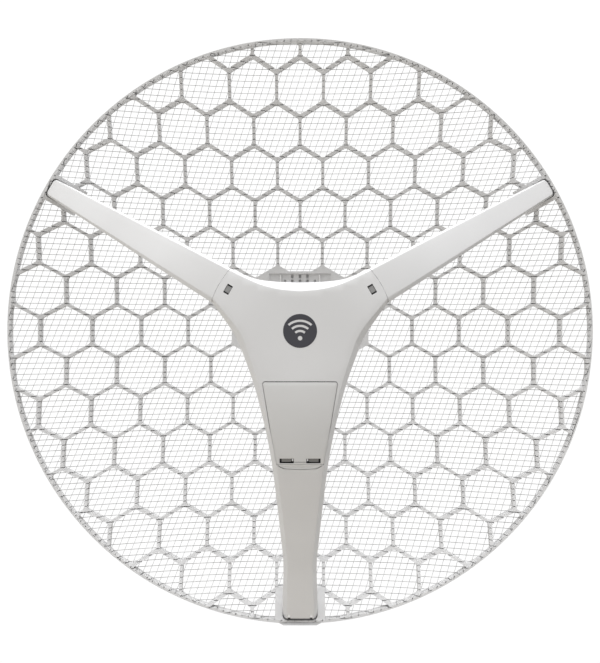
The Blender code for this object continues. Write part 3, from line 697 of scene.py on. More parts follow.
def build_reflector_frame():
    polygons = [rounded(cell, CELL_CORNER_R) for cell in cells()]
    inner_r = DISH_R - RIM_WALL
    root_z = -sqrt(DISH_R ** 2 - LIP_ROOT_HALF ** 2)
    lip = [(-LIP_HALF, -LIP_R), (LIP_HALF, -LIP_R), (LIP_ROOT_HALF, root_z),
           (LIP_ROOT_HALF, -DISH_R + 2.0), (-LIP_ROOT_HALF, -DISH_R + 2.0), (-LIP_ROOT_HALF, root_z)]
    lip_step = rectangle(-14.5, -DISH_R + 0.5, 14.5, -DISH_R + 1.4)
    rims = [circle(r, RIM_SIDES) for r in (DISH_R, inner_r + 0.02, inner_r + RIM_SLOT)]
    loops = [*rims, lip, lip_step, *polygons]
    blocks = []
    for angle, outer, inner in sockets():
        block = fine(strip(SOCKET_R, inner_r + 1.0, outer, angle), 12)
        pocket = rounded(strip(POCKET_R, inner_r, inner, angle), 3.0 if inner < 12.0 else 4.2)
        blocks.append((block, pocket))
        loops += [block, pocket]
    wells = [circle(12.0, 24, x, z) for x, z in ((0, 29), (0, -29), (29, 0), (-29, 0), (0, 0))]
    bolt_holes = [circle(3.3, 16, x * HUB_BOLT_AT, z * HUB_BOLT_AT) for x in (-1, 1) for z in (-1, 1)]
    boss = circle(HUB_BOSS_R, 64)
    loops += [boss, *wells, *bolt_holes]
    hub_step = rectangle(-31, 48.5, 31, 57.8)
    teeth = [rectangle(x - 1.2, low, x + 1.2, high) for x in (-7.8, 0, 7.5)
             for low, high in ((49.3, 51.7), (53.2, 57.0))]
    teeth += [rectangle(x - 0.8, 49.6, x + 0.8, 51.4) for x in (-15.2, 15.2)]
    loops += [hub_step, *teeth]
    extra = slot_lines(polygons)
    flat, faces = triangulate(loops, extra)
    centres = flat[faces].mean(axis=1)
    radius = np.hypot(centres[:, 0], centres[:, 1])
    kind = np.full(len(faces), "rib", dtype=object)
    void = np.zeros(len(faces), bool)
    for loop in polygons:
        void |= points_inside(centres, loop)
    kind[void] = "void"
    slotted = on_slot(centres) & ~void & (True)
    kind[slotted] = "slot"
    kind[radius > inner_r] = "rim"
    kind[(radius > inner_r) & (radius < inner_r + RIM_SLOT) & slotted] = "rim_slot"
    for block, pocket in blocks:
        kind[points_inside(centres, block) & (radius < inner_r)] = "socket"
        kind[points_inside(centres, pocket)] = "pocket"
    kind[points_inside(centres, boss)] = "boss"
    for well in wells + bolt_holes:
        kind[points_inside(centres, well)] = "rib"
    kind[points_inside(centres, hub_step)] = "hub_step"
    for tooth in teeth:
        kind[points_inside(centres, tooth)] = "hub_deep"
    kind[points_inside(centres, lip_step)] = "lip_step"
    rim_r = DISH_R * cos(pi / RIM_SIDES)
    rim_edge = -rim_r * np.sqrt(np.clip(1 - (centres[:, 0] / DISH_R) ** 2, 0, 1))
    kind[radius > rim_r] = "void"
    kind[points_inside(centres, lip) & (centres[:, 1] < rim_edge)] = "lip"
    mesh = stepped_mesh(flat, faces, kind)
    frame_piece = finish_piece("honeycomb_frame", mesh, FRAME_PLASTIC, 30.0)
    place(frame_piece, "dish", "frame_plastic", "reflector_frame")


def build_hub_posts():
    """Two upright ribs on the hub's step, above the body, painted near-white as a highlight."""
    for side, name in SIDES:
        x = side * HUB_POST_X
        loop = rectangle(x - 0.55, 48.8, x + 0.55, 56.6)
        b = Builder()
        b.solid([(px, dish_y(px, pz, RIB_FRONT + level), pz) for px, pz in shape]
                for shape, level in ((loop, -3.0), (loop, 0.9), (inset(loop, 0.15), 1.1)))
        place(b.piece(f"{name}_hub_post", PAINTED_HIGHLIGHT_PLASTIC, 30.0), "dish", "frame_plastic")


def stepped_mesh(flat, faces, kind):
    """A solid whose front and back level depend on the kind of each triangle."""
    verts = []
    known = {}

    def vertex(i, level):
        key = (i, level)
        if key not in known:
            known[key] = len(verts)
            x, z = flat[i]
            verts.append((x * MM, level_height(level, x, z) * MM, z * MM))
        return known[key]

    out = []
    borders = {}
    for index, face in enumerate(faces):
        if kind[index] == "void":
            continue
        front, back = LEVELS[kind[index]]
        a, b, c = (int(i) for i in face)
        out.append([vertex(a, front), vertex(b, front), vertex(c, front)])
        out.append([vertex(c, back), vertex(b, back), vertex(a, back)])
        for p, q in ((a, b), (b, c), (c, a)):
            borders[(p, q)] = kind[index]
    for (p, q), name in borders.items():
        front, back = LEVELS[name]
        beyond = borders.get((q, p))
        spans = [(back, front)]
        if beyond == name:
            continue
        if beyond is not None:
            far_front, far_back = LEVELS[beyond]
            spans = []
            if level_order(front) > level_order(far_front):
                spans.append((far_front, front))
            if level_order(back) < level_order(far_back):
                spans.append((back, far_back))
        for low, high in spans:
            corners = [vertex(q, high), vertex(p, high), vertex(p, low), vertex(q, low)]
            out.append([corners[0], corners[1], corners[2]])
            out.append([corners[0], corners[2], corners[3]])
    return mesh_from_arrays(np.array(verts), np.array(out))


# ---------------------------------------------------------------- woven mesh

def hidden_area(x, z):
    """Where the wires lie inside solid plastic: the hub and the rim's sockets."""
    hidden = np.hypot(x, z) < HUB_CELLS_R - 4
    for angle, outer, _ in sockets():
        along = x * cos(angle) + z * sin(angle)
        aside = -x * sin(angle) + z * cos(angle)
        hidden |= (along > SOCKET_R + 1.0) & (np.abs(aside) < outer - 1.0)
    return hidden | (np.hypot(x, z) > DISH_R - RIM_WALL + 0.6)


def wire_runs(level, number):
    """Centreline points of one woven wire, broken where plastic hides it."""
    if level:
        w = (number + LEVEL_PHASE) * LEVEL_PITCH
        first, last = ((way * WIRE_REACH - w * np.tan(SLANT)) / SLANT_PITCH for way in (-1, 1))
        steps = np.arange(int(first * 2), int(last * 2)) / 2
        u = w * np.tan(SLANT) + (steps + SLANT_PHASE) * SLANT_PITCH
        w = np.full_like(u, w)
        lift = LEVEL_WEAVE * np.cos(pi * (steps + number))
    else:
        last = int(WIRE_REACH / LEVEL_PITCH)
        steps = np.arange(-last * 2, last * 2) / 2
        w = (steps + LEVEL_PHASE) * LEVEL_PITCH
        u = w * np.tan(SLANT) + (number + SLANT_PHASE) * SLANT_PITCH
        lift = -SLANT_WEAVE * np.cos(pi * (steps + number))
    x, z = stretch(u, w)
    shown = ~hidden_area(x, z)
    line = np.stack([x, dish_y(x, z, lift), z], axis=1)
    edges = np.diff(np.concatenate([[0], shown.astype(int), [0]]))
    for a, b in zip(np.nonzero(edges == 1)[0], np.nonzero(edges == -1)[0]):
        if b - a > 1:
            yield line[max(0, a - 1):b + 1]


def tube_mesh(lines, radius, sides):
    """Round wires along polylines, as one mesh."""
    verts = []
    faces = []
    base = 0
    for line in lines:
        tangent = np.gradient(line, axis=0)
        tangent /= np.linalg.norm(tangent, axis=1)[:, None]
        out = np.stack([line[:, 0] / (2 * FOCAL), np.ones(len(line)), line[:, 2] / (2 * FOCAL)], axis=1)
        side = np.cross(tangent, out)
        side /= np.linalg.norm(side, axis=1)[:, None]
        up = np.cross(side, tangent)
        angles = 2 * pi * (np.arange(sides) + 0.5) / sides
        ring = (side[:, None] * np.cos(angles)[None, :, None] + up[:, None] * np.sin(angles)[None, :, None])
        verts.append((line[:, None] + ring * radius).reshape(-1, 3))
        count = len(line)
        i = np.arange(count - 1)[:, None] * sides + base
        k = np.arange(sides)[None]
        n = (k + 1) % sides
        faces.append(np.stack([i + k, i + n, i + sides + n, i + sides + k], axis=2).reshape(-1, 4))
        base += count * sides
    return mesh_from_arrays(np.concatenate(verts) * MM, np.concatenate(faces))


def build_woven_mesh():
    levels, slants = wire_numbers()
    for name, numbers, radius in (("mesh_level_wires", levels, LEVEL_WIRE_R),
                                  ("mesh_slanted_wires", slants, SLANT_WIRE_R)):
        lines = [run for number in numbers for run in wire_runs(numbers is levels, number)]
        obj = finish_piece(name, tube_mesh(lines, radius, 5), WIRE, 80.0)
        place(obj, "dish", "wire_mesh", "reflector_mesh")


# ---------------------------------------------------------------- feed body

# The body's outline as pairs: a point of its silhouette and the matching point of its flat
# front face, whose distance is the width of the bevel between them.
LEG_SIDE = [((55.3, -2.0), (50.3, -0.1)), ((45.6, -24.0), (41.0, -22.4)),
            ((34.8, -57.5), (31.0, -56.7)), ((24.2, -110.0), (20.2, -109.2)),
            ((16.4, -190.0), (12.3, -189.6)), ((15.1, -216.0), (11.2, -216.0)),
            ((16.2, -252.0), (12.2, -252.0)), ((16.0, -266.0), (12.0, -266.0))]
TOP_SIDE = [((37.9, 43.6), (36.0, 39.3)), ((19.0, 41.0), (18.2, 34.2)), ((0.0, 40.4), (0.0, 32.4))]
SEAM_FACE_HALF = 14.0
SEAM_FACE_LOW = 12.7
LATCH_TOP = -112.3
LEG_NOTCH_X = 10.3
HINGE_RELIEF = 1.5
TIP_FACE_HALF = 7.4
TIP_FACE_LOW = 7.1
# Rings of the bevel: share of the way from the silhouette to the face, share of its depth
BEVEL_PROFILE = [(1.0, 0.0), (0.95, 0.01), (0.88, 0.05), (0.78, 0.15),
                 (0.16, 0.84), (0.07, 0.93), (0.02, 0.99), (0.0, 1.1)]
LEG_END_HALF = 16.0
LEG_END_FACE_HALF = 12.0
LEG_END_ROUND = 3.5


def seam_arc(angle, radius, half, count):
    reach = half / radius
    return [(radius * cos(angle + reach * (2 * i / count - 1)),
             radius * sin(angle + reach * (2 * i / count - 1))) for i in range(count + 1)]


def cover_pairs(end_z, round_end):
    """Right half, from the leg's end up to the middle of the top, mirrored to close the outline."""
    per = 8
    angle = ARM_ANGLES["right"]
    seam_out = seam_arc(angle, SEAM_R, ARM_ROOT_HALF, 8)
    middle = (SEAM_FACE_HALF - SEAM_FACE_LOW) / 2
    seam_in = seam_arc(angle + middle / SEAM_R, SEAM_R, SEAM_FACE_HALF - middle, 8)
    side_out = smooth_curve([seam_out[0]] + [p for p, _ in LEG_SIDE], per)
    side_in = smooth_curve([seam_in[0]] + [q for _, q in LEG_SIDE], per)
    side = [(p, q) for p, q in zip(side_out, side_in) if p[1] > end_z + 1.0]
    top_out = smooth_curve([seam_out[-1]] + [p for p, _ in TOP_SIDE], per)
    top_in = smooth_curve([seam_in[-1]] + [q for _, q in TOP_SIDE], per)
    if round_end:
        corner = [((LEG_END_HALF - LEG_END_ROUND * (1 - cos(a)), end_z + LEG_END_ROUND * (1 - sin(a))),
                   (LEG_END_FACE_HALF, end_z + 1.2)) for a in (pi / 2, 1.2, 0.8, 0.4, 0.0)]
        end = [((0.0, end_z), (0.0, end_z + 1.2)), ((6.0, end_z), (6.0, end_z + 1.2)), *corner]
    else:
        p, q = side[-1]
        end = [((0.0, end_z), (0.0, end_z)), ((p[0] / 2, end_z), (q[0] / 2, end_z)),
               ((p[0], end_z), (q[0], end_z))]
    seam = list(zip(seam_out, seam_in))[1:-1]
    right = [*end, *reversed(side), *seam, *zip(top_out, top_in)]

    def mirror(pair):
        return tuple((-x, z) for x, z in pair)

    return right + [mirror(p) for p in reversed(right[1:-1])]


def blend_loop(pairs, share):
    """Outline between the silhouette (0) and the front face's edge (1)."""
    return [(p[0] + (q[0] - p[0]) * share, p[1] + (q[1] - p[1]) * share) for p, q in pairs]


def shell(name, pairs, holes, face, split, drops, direction, mat, widen=None):
    """A moulded half shell. face(x, z) is its outer face, split(x, z) its open edge;
    direction is +1 where its depth runs towards +Y; widen(hole) is a hole's outline inside."""
    b = Builder()
    deep_holes = [widen(hole) if widen else hole for hole in holes]

    def at_depth(loop, depths):
        return [(x, face(x, z) + direction * d, z) for (x, z), d in zip(loop, depths)]

    def at_split(loop, back=0.0):
        return [(x, split(x, z) - direction * back, z) for x, z in loop]

    outline = blend_loop(pairs, 0.0)
    inner = inset(outline, WALL)
    edge = blend_loop(pairs, 1.0)
    floor = inset(blend_loop(pairs, 0.9), 0.6)
    rows = [at_depth(blend_loop(pairs, share), [d * part for d in drops]) for share, part in BEVEL_PROFILE]
    rows += [at_split(outline, 0.5), at_split(inset(outline, 0.45)), at_split(inner),
             at_depth(inner, [d * 0.9 + WALL for d in drops]), at_depth(floor, [WALL] * len(floor))]
    b.bands([b.ring(row) for row in rows])
    b.sheet([edge, *holes], 5.0, 0.0, face)
    b.sheet([floor, *deep_holes], 5.0, direction * WALL, face)
    for front, back in zip(holes, deep_holes):
        b.band(b.ring(at_depth(front, [0.0] * len(front))), b.ring(at_depth(back, [WALL] * len(back))))
    return b.piece(name, mat, 28.0, 0.02)


def door_loop(grow):
    right = [(0.0, -116.5), (13.5, -115.95), (17.0, -114.2), (19.5, -112.2), (20.0, -111.0),
             (25.9, -75.0), (30.6, -45.4), (31.0, -43.4), (29.6, -41.95)]
    loop = right + [(-x, z) for x, z in reversed(right[1:])]
    return fine(inset(rounded(loop, 1.6, 3), -grow), 5.0)


def hinge_relief(hole):
    """Inside the cover the door's opening is higher, so that its hinge edge can turn."""
    return [(x, z + HINGE_RELIEF if z > -43.0 and abs(x) < 35.0 else z) for x, z in hole]


def snap_window(angle):
    return fine(strip(66.3, 71.3, 4.0, angle), 3.0)


def cover_drops(pairs, level):
    """How far the bevel goes down at each point of the outline."""
    widths = [hypot(p[0] - q[0], p[1] - q[1]) for p, q in pairs]
    return [level * max(0.15, width / 4.0) if width else level for width in widths]


def leg_notch(side):
    x = side * LEG_NOTCH_X
    return rectangle(x - 1.2, -267.0, x + 1.2, -264.0)


def build_front_cover():
    pairs = cover_pairs(-TIP_R, True)
    holes = [door_loop(0.34), *(snap_window(a) for a in ARM_ANGLES.values()),
             *(leg_notch(side) for side in (-1, 1))]

    def split(x, z):
        blend = min(1.0, max(0.0, (-z - 228.0) / 8.0))
        return split_y(x, z) * (1 - blend) + back_y(x, z) * blend

    cover = shell("front_cover_shell", pairs, holes, face_y, split, cover_drops(pairs, 6.6), 1,
                  COVER_PLASTIC, hinge_relief)
    place(cover, "dish", "cover_plastic", "front_cover")


def build_rear_cover():
    pairs = cover_pairs(-REAR_COVER_END_R, False)
    outlet = rounded(rectangle(-6.5, -222.0, 6.5, -206.0), 3.0)
    screws = [circle(4.2, 20, x, z) for x, z in ((-33, 22), (33, 22), (-13, -126.5), (13, -126.5))]
    cover = shell("rear_cover_shell", pairs, [outlet, *screws], back_y,
                  lambda x, z: split_y(x, z, COVER_GAP), cover_drops(pairs, 3.0), -1, COVER_PLASTIC)
    place(cover, "dish", "cover_plastic", "rear_cover")


def arm_half(r, root, tip):
    return root + (tip - root) * (r - SEAM_R) / (TIP_R - SEAM_R)


def build_arm(side):
    """A tapered limb: bevelled front, straight sides, open at the back. Each row of points
    is (distance along the limb, across it, depth below the face or None at the back)."""
    angle = ARM_ANGLES[side]
    up = 1 if side == "right" else -1
    start = SEAM_R + SEAM_GAP
    round_r = TIP_R - TIP_ROUND
    stations = [start + (round_r - start) * i / 44 for i in range(45)]
    stations += [round_r + TIP_ROUND * sin(a) for a in (0.35, 0.75, 1.15, pi / 2)]
    rows = []
    for r in stations:
        half = arm_half(r, ARM_ROOT_HALF, ARM_TIP_HALF)
        faces = [arm_half(r, SEAM_FACE_HALF, TIP_FACE_HALF), arm_half(r, SEAM_FACE_LOW, TIP_FACE_LOW)]
        if r > round_r:
            turn = TIP_ROUND - sqrt(max(0.0, TIP_ROUND ** 2 - (r - round_r) ** 2))
            half -= turn
            faces = [face - turn for face in faces]
        drop = 2.6 if r < round_r else 1.6
        upper, lower = ([(half, None), (half, drop + 0.3), (half - 0.15, drop * 0.93),
                         (half * 0.4 + face * 0.6, drop * 0.35), (face, 0.04), (face - 0.8, 0.0),
                         (face * 0.5, 0.0)] for face in faces[::up])
        outside = upper + [(0.0, 0.0)] + [(-t, d) for t, d in reversed(lower)]
        root = r < start + 0.01
        spots = [(sqrt(max(r * r - t * t, 0.0)) if root else r, t, d) for t, d in outside]
        wall = half - WALL
        hollow = start + 2.5 < r < 252.0
        inside = [(-wall, None), (-wall, WALL + 1.5), (0.0, WALL), (wall, WALL + 1.5), (wall, None)]
        spots += [(r, t, d if hollow else None) for t, d in inside]
        row = []
        for along, t, d in spots:
            (x, z), = polar([(along, t)], angle)
            row.append((x, back_y(x, z) if d is None else face_y(x, z, d), z))
        rows.append(row)
    b = Builder()
    b.solid(rows)
    place(b.piece(f"{side}_arm_shell", COVER_PLASTIC, 28.0), "dish", "cover_plastic", f"{side}_arm")
    # the hook's dark grey plastic is painted shade of the window around it
    hook = Builder()
    outline = fine(strip(66.6, 71.1, 2.8, angle), 3.0)
    top = [(x, face_y(x, z, 0.9 - 0.09 * (hypot(x, z) - 66)), z) for x, z in inset(outline, 0.25)]
    hook.solid([top, on_face(outline, 1.1), on_face(outline, 7.0)])
    place(hook.piece(f"{side}_snap_hook", SNAP_HOOK_PAINTED_SHADE, 30.0), "dish", "cover_plastic")
    # a black sheet under the snap window: painted shade for the window's dark inside
    well = fine(strip(66.1, 71.5, 4.2, angle), 3.0)
    place_block(f"{side}_snap_recess_shade", well, 2.4, 2.0, BLACK_PLASTIC_AND_PAINTED_SHADE, "dish", "black_plastic")


def place_block(name, loop, low, high, mat, body, slot, tilt=0.0):
    """A small solid between two depths below the body's face, its front tilted along Z."""
    middle = sum(z for _, z in loop) / len(loop)
    front = [(x, face_y(x, z, high + tilt * (z - middle)), z) for x, z in loop]
    b = Builder()
    b.solid([front, on_face(loop, low)])
    place(b.piece(name, mat, 30.0), body, slot)


# ---------------------------------------------------------------- door and latch

def plate(name, loops, depth, sink, mat, edge):
    """A curved panel over an outline, with rounded front edges."""
    b = Builder()
    rims = []
    for i, loop in enumerate(loops):
        turn = 1 if i == 0 else -1
        steps = [(0.0, depth), (0.0, edge), (edge * 0.3, edge * 0.3), (edge, 0.0)]
        b.bands([b.ring(on_face(inset(loop, turn * inward), sink + d)) for inward, d in steps])
        rims.append(inset(loop, turn * edge))
    b.sheet(rims, 4.0, sink)
    b.sheet(loops, 4.0, sink + depth)
    return b.piece(name, mat, 28.0, 0.02)


LATCH_HALF = 19.2
LATCH_DEPTH = 3.6


def latch_end(x):
    """Lower edge of the latch at x."""
    corners = [(0.0, -116.5), (13.2, -115.9), (16.5, -114.1), (LATCH_HALF, -112.7)]
    for (x0, z0), (x1, z1) in zip(corners, corners[1:]):
        if abs(x) <= x1:
            return z0 + (z1 - z0) * (abs(x) - x0) / (x1 - x0)
    return corners[-1][1]


def build_latch():
    """A bar with a finger scoop across its front."""
    rows = []
    for i in range(49):
        x = LATCH_HALF * (2 * i / 48 - 1)
        end = latch_end(x)
        height = LATCH_TOP - end
        middle = (LATCH_TOP + end) / 2 - 0.3
        scoop = 0.9 * sqrt(max(0.0, 1 - (x / 17.0) ** 2))
        profile = [(LATCH_TOP, LATCH_DEPTH), (LATCH_TOP, 0.3), (LATCH_TOP - 0.12, 0.12),
                   (LATCH_TOP - 0.1 - 0.25 * (height - 0.3), 0.06),
                   (middle + 0.1 * height, scoop), (middle - 0.12 * height, scoop * 0.7),
                   (end + 0.12, 0.1), (end, 0.35), (end, LATCH_DEPTH)]
        rows.append([(x, face_y(x, z, d), z) for z, d in profile])
    b = Builder()
    b.solid(rows)
    place(b.piece("door_latch_bar", DOOR_PLASTIC, 32.0), "latch", "door_plastic", "door_latch")


def build_door():
    right = [(20.0, -112.15), (25.9, -75.0), (30.6, -45.4), (31.0, -43.4), (29.6, -42.2)]
    outline = fine(rounded(right + [(-x, z) for x, z in reversed(right)], 1.4, 3), 5.0)
    windows = [rectangle(side * 11.2 - 6, -111.1, side * 11.2 + 6, -107.0) for side, _ in SIDES]
    windows = [fine(rounded(window, 0.4, 2), 3.0) for window in windows]
    groove = rectangle(-4.7, -110.25, 4.7, -109.9)
    door = plate("port_door_panel", [outline, *windows, groove], 2.0, 0.2, DOOR_PLASTIC, 0.35)
    place(door, "door", "door_plastic", "port_door")
    for side, name in SIDES:
        catch = rectangle(side * 11.55 - 3.95, -109.9, side * 11.55 + 3.95, -107.05)
        place_block(f"{name}_door_catch", catch, 2.8, 0.9, CATCH_PLASTIC, "door", "black_plastic")
        tab = rectangle(side * 6.3 - 0.6, -109.1, side * 6.3 + 0.6, -107.3)
        place_block(f"{name}_catch_tab", tab, 2.4, 0.3, COVER_PLASTIC, "door", "door_plastic", 0.25)


def build_catch_window_shade():
    """A black sheet behind the door's windows: painted shade for the dark recess behind them."""
    well = rectangle(-17.4, -111.3, 17.4, -106.8)
    place_block("door_window_shade", well, 3.4, 2.9, BLACK_PLASTIC_AND_PAINTED_SHADE, "door", "black_plastic")


def build_leg_catches():
    """Sloped catches in the two notches at the leg's end, painted near-white as a highlight, each over a
    black block that paints the shadow in its hole.
    """
    for side, name in SIDES:
        x = side * LEG_NOTCH_X
        catch = rectangle(x - 1.1, -266.9, x + 1.1, -264.1)
        # the catch's near-white plastic is a painted highlight
        place_block(f"{name}_leg_catch", catch, 3.4, -0.3, PAINTED_HIGHLIGHT_PLASTIC, "dish", "cover_plastic", 0.62)
        # a black block below the catch: painted shadow in the hole
        hole = rectangle(x - 1.2, -268.9, x + 1.2, -267.1)
        place_block(f"{name}_leg_gap_shadow", hole, 4.2, -0.06, BLACK_PLASTIC_AND_PAINTED_SHADE, "dish", "black_plastic", -0.1)


# ---------------------------------------------------------------- badge

def arc_band(radius, width, middle, reach, cz, count=16):
    """A band round a point on the Z axis, from middle - reach to middle + reach."""
    turns = [2 * i / count - 1 for i in range(count + 1)]
    edges = [(radius + width / 2, reach), (radius - width / 2, -reach)]
    return [(r * cos(middle + way * turn), cz + r * sin(middle + way * turn))
            for r, way in edges for turn in turns]


def build_badge():
    """A plain round sign with the usual radio arcs, and no lettering."""
    arcs = [arc_band(r, 1.9, pi / 2, 0.72, -6.0) for r in (6.0, 10.2, 14.4)]
    loops = [circle(14.0, 72), *arcs, circle(1.9, 20, 0.0, -6.0)]
    b = Builder()
    for loop in loops:
        b.band(b.ring(on_face(loop, 0.1)), b.ring(on_face(loop, -0.12)))
    b.sheet(loops, 3.0, 0.1)
    b.sheet(loops, 3.0, -0.12)
    place(b.piece("round_badge", BADGE_INK, 40.0, 0.01), "dish", "black_plastic")


# ---------------------------------------------------------------- fasteners and brackets

HEX_ACROSS = 13.0
HINGE_ROD_R = 3.85


def axis_frame(axis):
    """The axis at unit length, and two directions across it."""
    axis = Vector(axis).normalized()
    side = axis.orthogonal().normalized()
    return axis, side, axis.cross(side)


def turned(b, profile, origin, axis, count=32):
    """Adds a turned solid; profile runs from axis to axis as (radius, distance along)."""
    axis, side, up = axis_frame(axis)
    rings = []
    for radius, along in profile:
        centre = Vector(origin) + axis * along
        rings.append(b.ring([centre + (side * cos(a) + up * sin(a)) * max(radius, 0.001)
                             for a in (2 * pi * i / count for i in range(count))]))
    b.bands(rings)


def thread_profile(radius, start, end, pitch=1.25, depth=0.55):
    """Ring-shaped ridges that read as a thread."""
    step = pitch if end > start else -pitch
    out = []
    along = start
    while abs(along - start) < abs(end - start) - pitch:
        out += [(radius, along), (radius - depth, along + step / 2)]
        along += step
    return [*out, (radius, along)]


def hexagon_solid(b, across, low, high, bore, origin, axis):
    """A chamfered hexagon, with a bore through it if bore is above zero."""
    axis, side, up = axis_frame(axis)
    count = 48

    def hex_radius(a):
        return across / 2 / cos((a + pi / 6) % (pi / 3) - pi / 6)

    def ring(limit, along):
        centre = Vector(origin) + axis * along
        return b.ring([centre + (side * cos(a) + up * sin(a)) * min(limit, hex_radius(a))
                       for a in (2 * pi * i / count for i in range(count))])

    cut = 0.45 * (1 if high > low else -1)
    corner = across / 2 / cos(pi / 6)
    flat = across / 2 * 0.98
    rings = [ring(*spot) for spot in ((flat, low), (corner, low + cut), (corner, high - cut), (flat, high))]
    b.bands(rings)
    if bore > 0:
        b.bands([rings[-1], ring(bore, high), ring(bore, low), rings[0]])
    else:
        b.cap(rings[-1])
        b.cap(rings[0])


def build_hinge_bolt(name):
    """Hex bolt through both brackets, its washers and nut, on the X axis."""
    low, high = cad_box_mm(f"{name}_bolt")
    origin = (0, (low[1] + high[1]) / 2, (low[2] + high[2]) / 2)
    along = (1, 0, 0)
    b = Builder()
    hexagon_solid(b, HEX_ACROSS, low[0], low[0] + 5.3, 0, origin, along)
    profile = [(0, low[0] + 1), (HINGE_ROD_R, low[0] + 5), (HINGE_ROD_R, high[0] - 24)]
    profile += thread_profile(HINGE_ROD_R, high[0] - 24, high[0] - 0.8)
    profile += [(3.1, high[0]), (0, high[0])]
    turned(b, profile, origin, along)
    place(b.piece(f"{name}_bolt_hex", ZINC, 35.0), "mast_clamp", "zinc_fastener", f"{name}_bolt")
    build_nut(f"{name}_nut", origin, along, 4.0)
    for side in ("left", "right"):
        build_washer(f"{name}_washer_{side}", origin, along)


def node_span(node, along):
    """Where a CAD node starts and ends along an axis, in millimetres."""
    low, high = cad_box_mm(node)
    return low[along.index(1)], high[along.index(1)]


def build_nut(node, origin, along, bore):
    b = Builder()
    hexagon_solid(b, HEX_ACROSS, *node_span(node, along), bore, origin, along)
    place(b.piece(f"{node}_hex", ZINC, 35.0), "mast_clamp", "zinc_fastener", node)


def build_washer(node, origin, along):
    low, high = node_span(node, along)
    b = Builder()
    profile = [(4.4, low), (7.6, low), (8.0, low + 0.3), (8.0, high - 0.3),
               (7.6, high), (4.4, high), (4.4, low)]
    turned(b, profile, origin, along, 40)
    place(b.piece(f"{node}_ring", ZINC, 35.0), "mast_clamp", "zinc_fastener", node)


def build_u_bolt(name, body):
    low, high = cad_box_mm(f"{name}_u_bolt")
    z = (low[2] + high[2]) / 2
    rod = (high[2] - low[2]) / 2
    leg = (high[0] - low[0]) / 2 - rod
    bend_y = high[1] - rod - leg
    count = 20
    path = [(leg, y) for y in np.linspace(low[1] + 1.0, bend_y, 8)]
    path += [(leg * cos(a), bend_y + leg * sin(a)) for a in np.linspace(0, pi, 40)[1:]]
    path += [(-leg, y) for y in np.linspace(bend_y, low[1] + 1.0, 8)[1:]]
    thread_to = -18.0
    b = Builder()
    for sx in (-1, 1):
        profile = [(0, low[1]), (rod - 0.7, low[1]), (rod, low[1] + 0.8)]
        profile += thread_profile(rod, low[1] + 0.8, thread_to)
        profile += [(rod, thread_to + 0.6), (0, thread_to + 0.8)]
        turned(b, profile, (sx * leg, 0, z), (0, 1, 0), 28)
    rings = []
    smooth = [p for p in path if p[1] > thread_to]
    for i, (x, y) in enumerate(smooth):
        before, after = smooth[max(0, i - 1)], smooth[min(len(smooth) - 1, i + 1)]
        way = Vector((after[0] - before[0], after[1] - before[1], 0)).normalized()
        side = Vector((way.y, -way.x, 0))
        rings.append(b.ring([Vector((x, y, z)) + (side * cos(a) + Vector((0, 0, 1)) * sin(a)) * rod
                             for a in (2 * pi * k / count for k in range(count))]))
    b.bands(rings)
    place(b.piece(f"{name}_u_bolt_rod", ZINC, 40.0), body, "zinc_fastener", f"{name}_u_bolt")
    for side in ("left", "right"):
        low, high = cad_box_mm(f"{name}_u_nut_{side}")
        origin = ((low[0] + high[0]) / 2, 0, z)
        build_nut(f"{name}_u_nut_{side}", origin, (0, 1, 0), 4.05)
        build_washer(f"{name}_u_washer_{side}", origin, (0, 1, 0))


def dress_cad_nodes():
    """CAD nodes whose shape is right keep it, with worn round edges and their own material."""
    looks = {
        "tilt_bracket": (GALVANISED, 0.7), "mast_bracket": (GALVANISED, 0.7),
        "door_hinge_pin": (ZINC, 0.0), "shield_can": (TINNED, 0.4), "ground_reflector": (TINNED, 0.2),
        "feed_radiator": (COPPER, 0.15), "ethernet_jack": (BLACK_PLASTIC_AND_PAINTED_SHADE, 0.25),
        "reset_switch": (BLACK_PLASTIC_AND_PAINTED_SHADE, 0.25), "reset_button": (BLACK_PLASTIC_AND_PAINTED_SHADE, 0.3),
        "main_board": (BOARD, 0.0),
    }
    for node, (mat, width) in looks.items():
        dress(node, mat, width)
    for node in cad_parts:
        if "screw" in node or node.startswith("hub_bolt"):
            dress(node, ZINC, 0.2)


def dress(node, mat, width):
    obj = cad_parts[node]
    obj.data.materials.clear()
    obj.data.materials.append(mat)
    if width:
        bevel = obj.modifiers.new("worn_edges", "BEVEL")
        bevel.width = width * MM
        bevel.segments = 2
        bevel.limit_method = "ANGLE"
        bevel.angle_limit = radians(50)


# ---------------------------------------------------------------- stage, light and camera

def build_stage():
    look = Look("floor", (0.5, 0.475, 0.44), 0.7)
    look.vary_roughness(look.noise(3.0), 0.6, 0.8)
    mesh = bpy.data.meshes.new("floor")
    bm = bmesh.new()
    bmesh.ops.create_circle(bm, cap_ends=True, radius=0.75, segments=96)
    bm.to_mesh(mesh)
    bm.free()
    floor = finish_piece("floor", mesh, look.mat)
    floor.location = (0, -0.1, -0.85)
    floor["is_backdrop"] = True


# Brightness of the light tent: all round, then what is added overhead, on the right, with
# height, and in the lower left corner (the lower right loses as much)
TENT_MEAN = 0.61
TENT_TOP = 2.9
TENT_RIGHT = 0.05
TENT_RISE = 0.27
TENT_CORNER = 0.95
CAMERA_DISTANCE = 1210.0


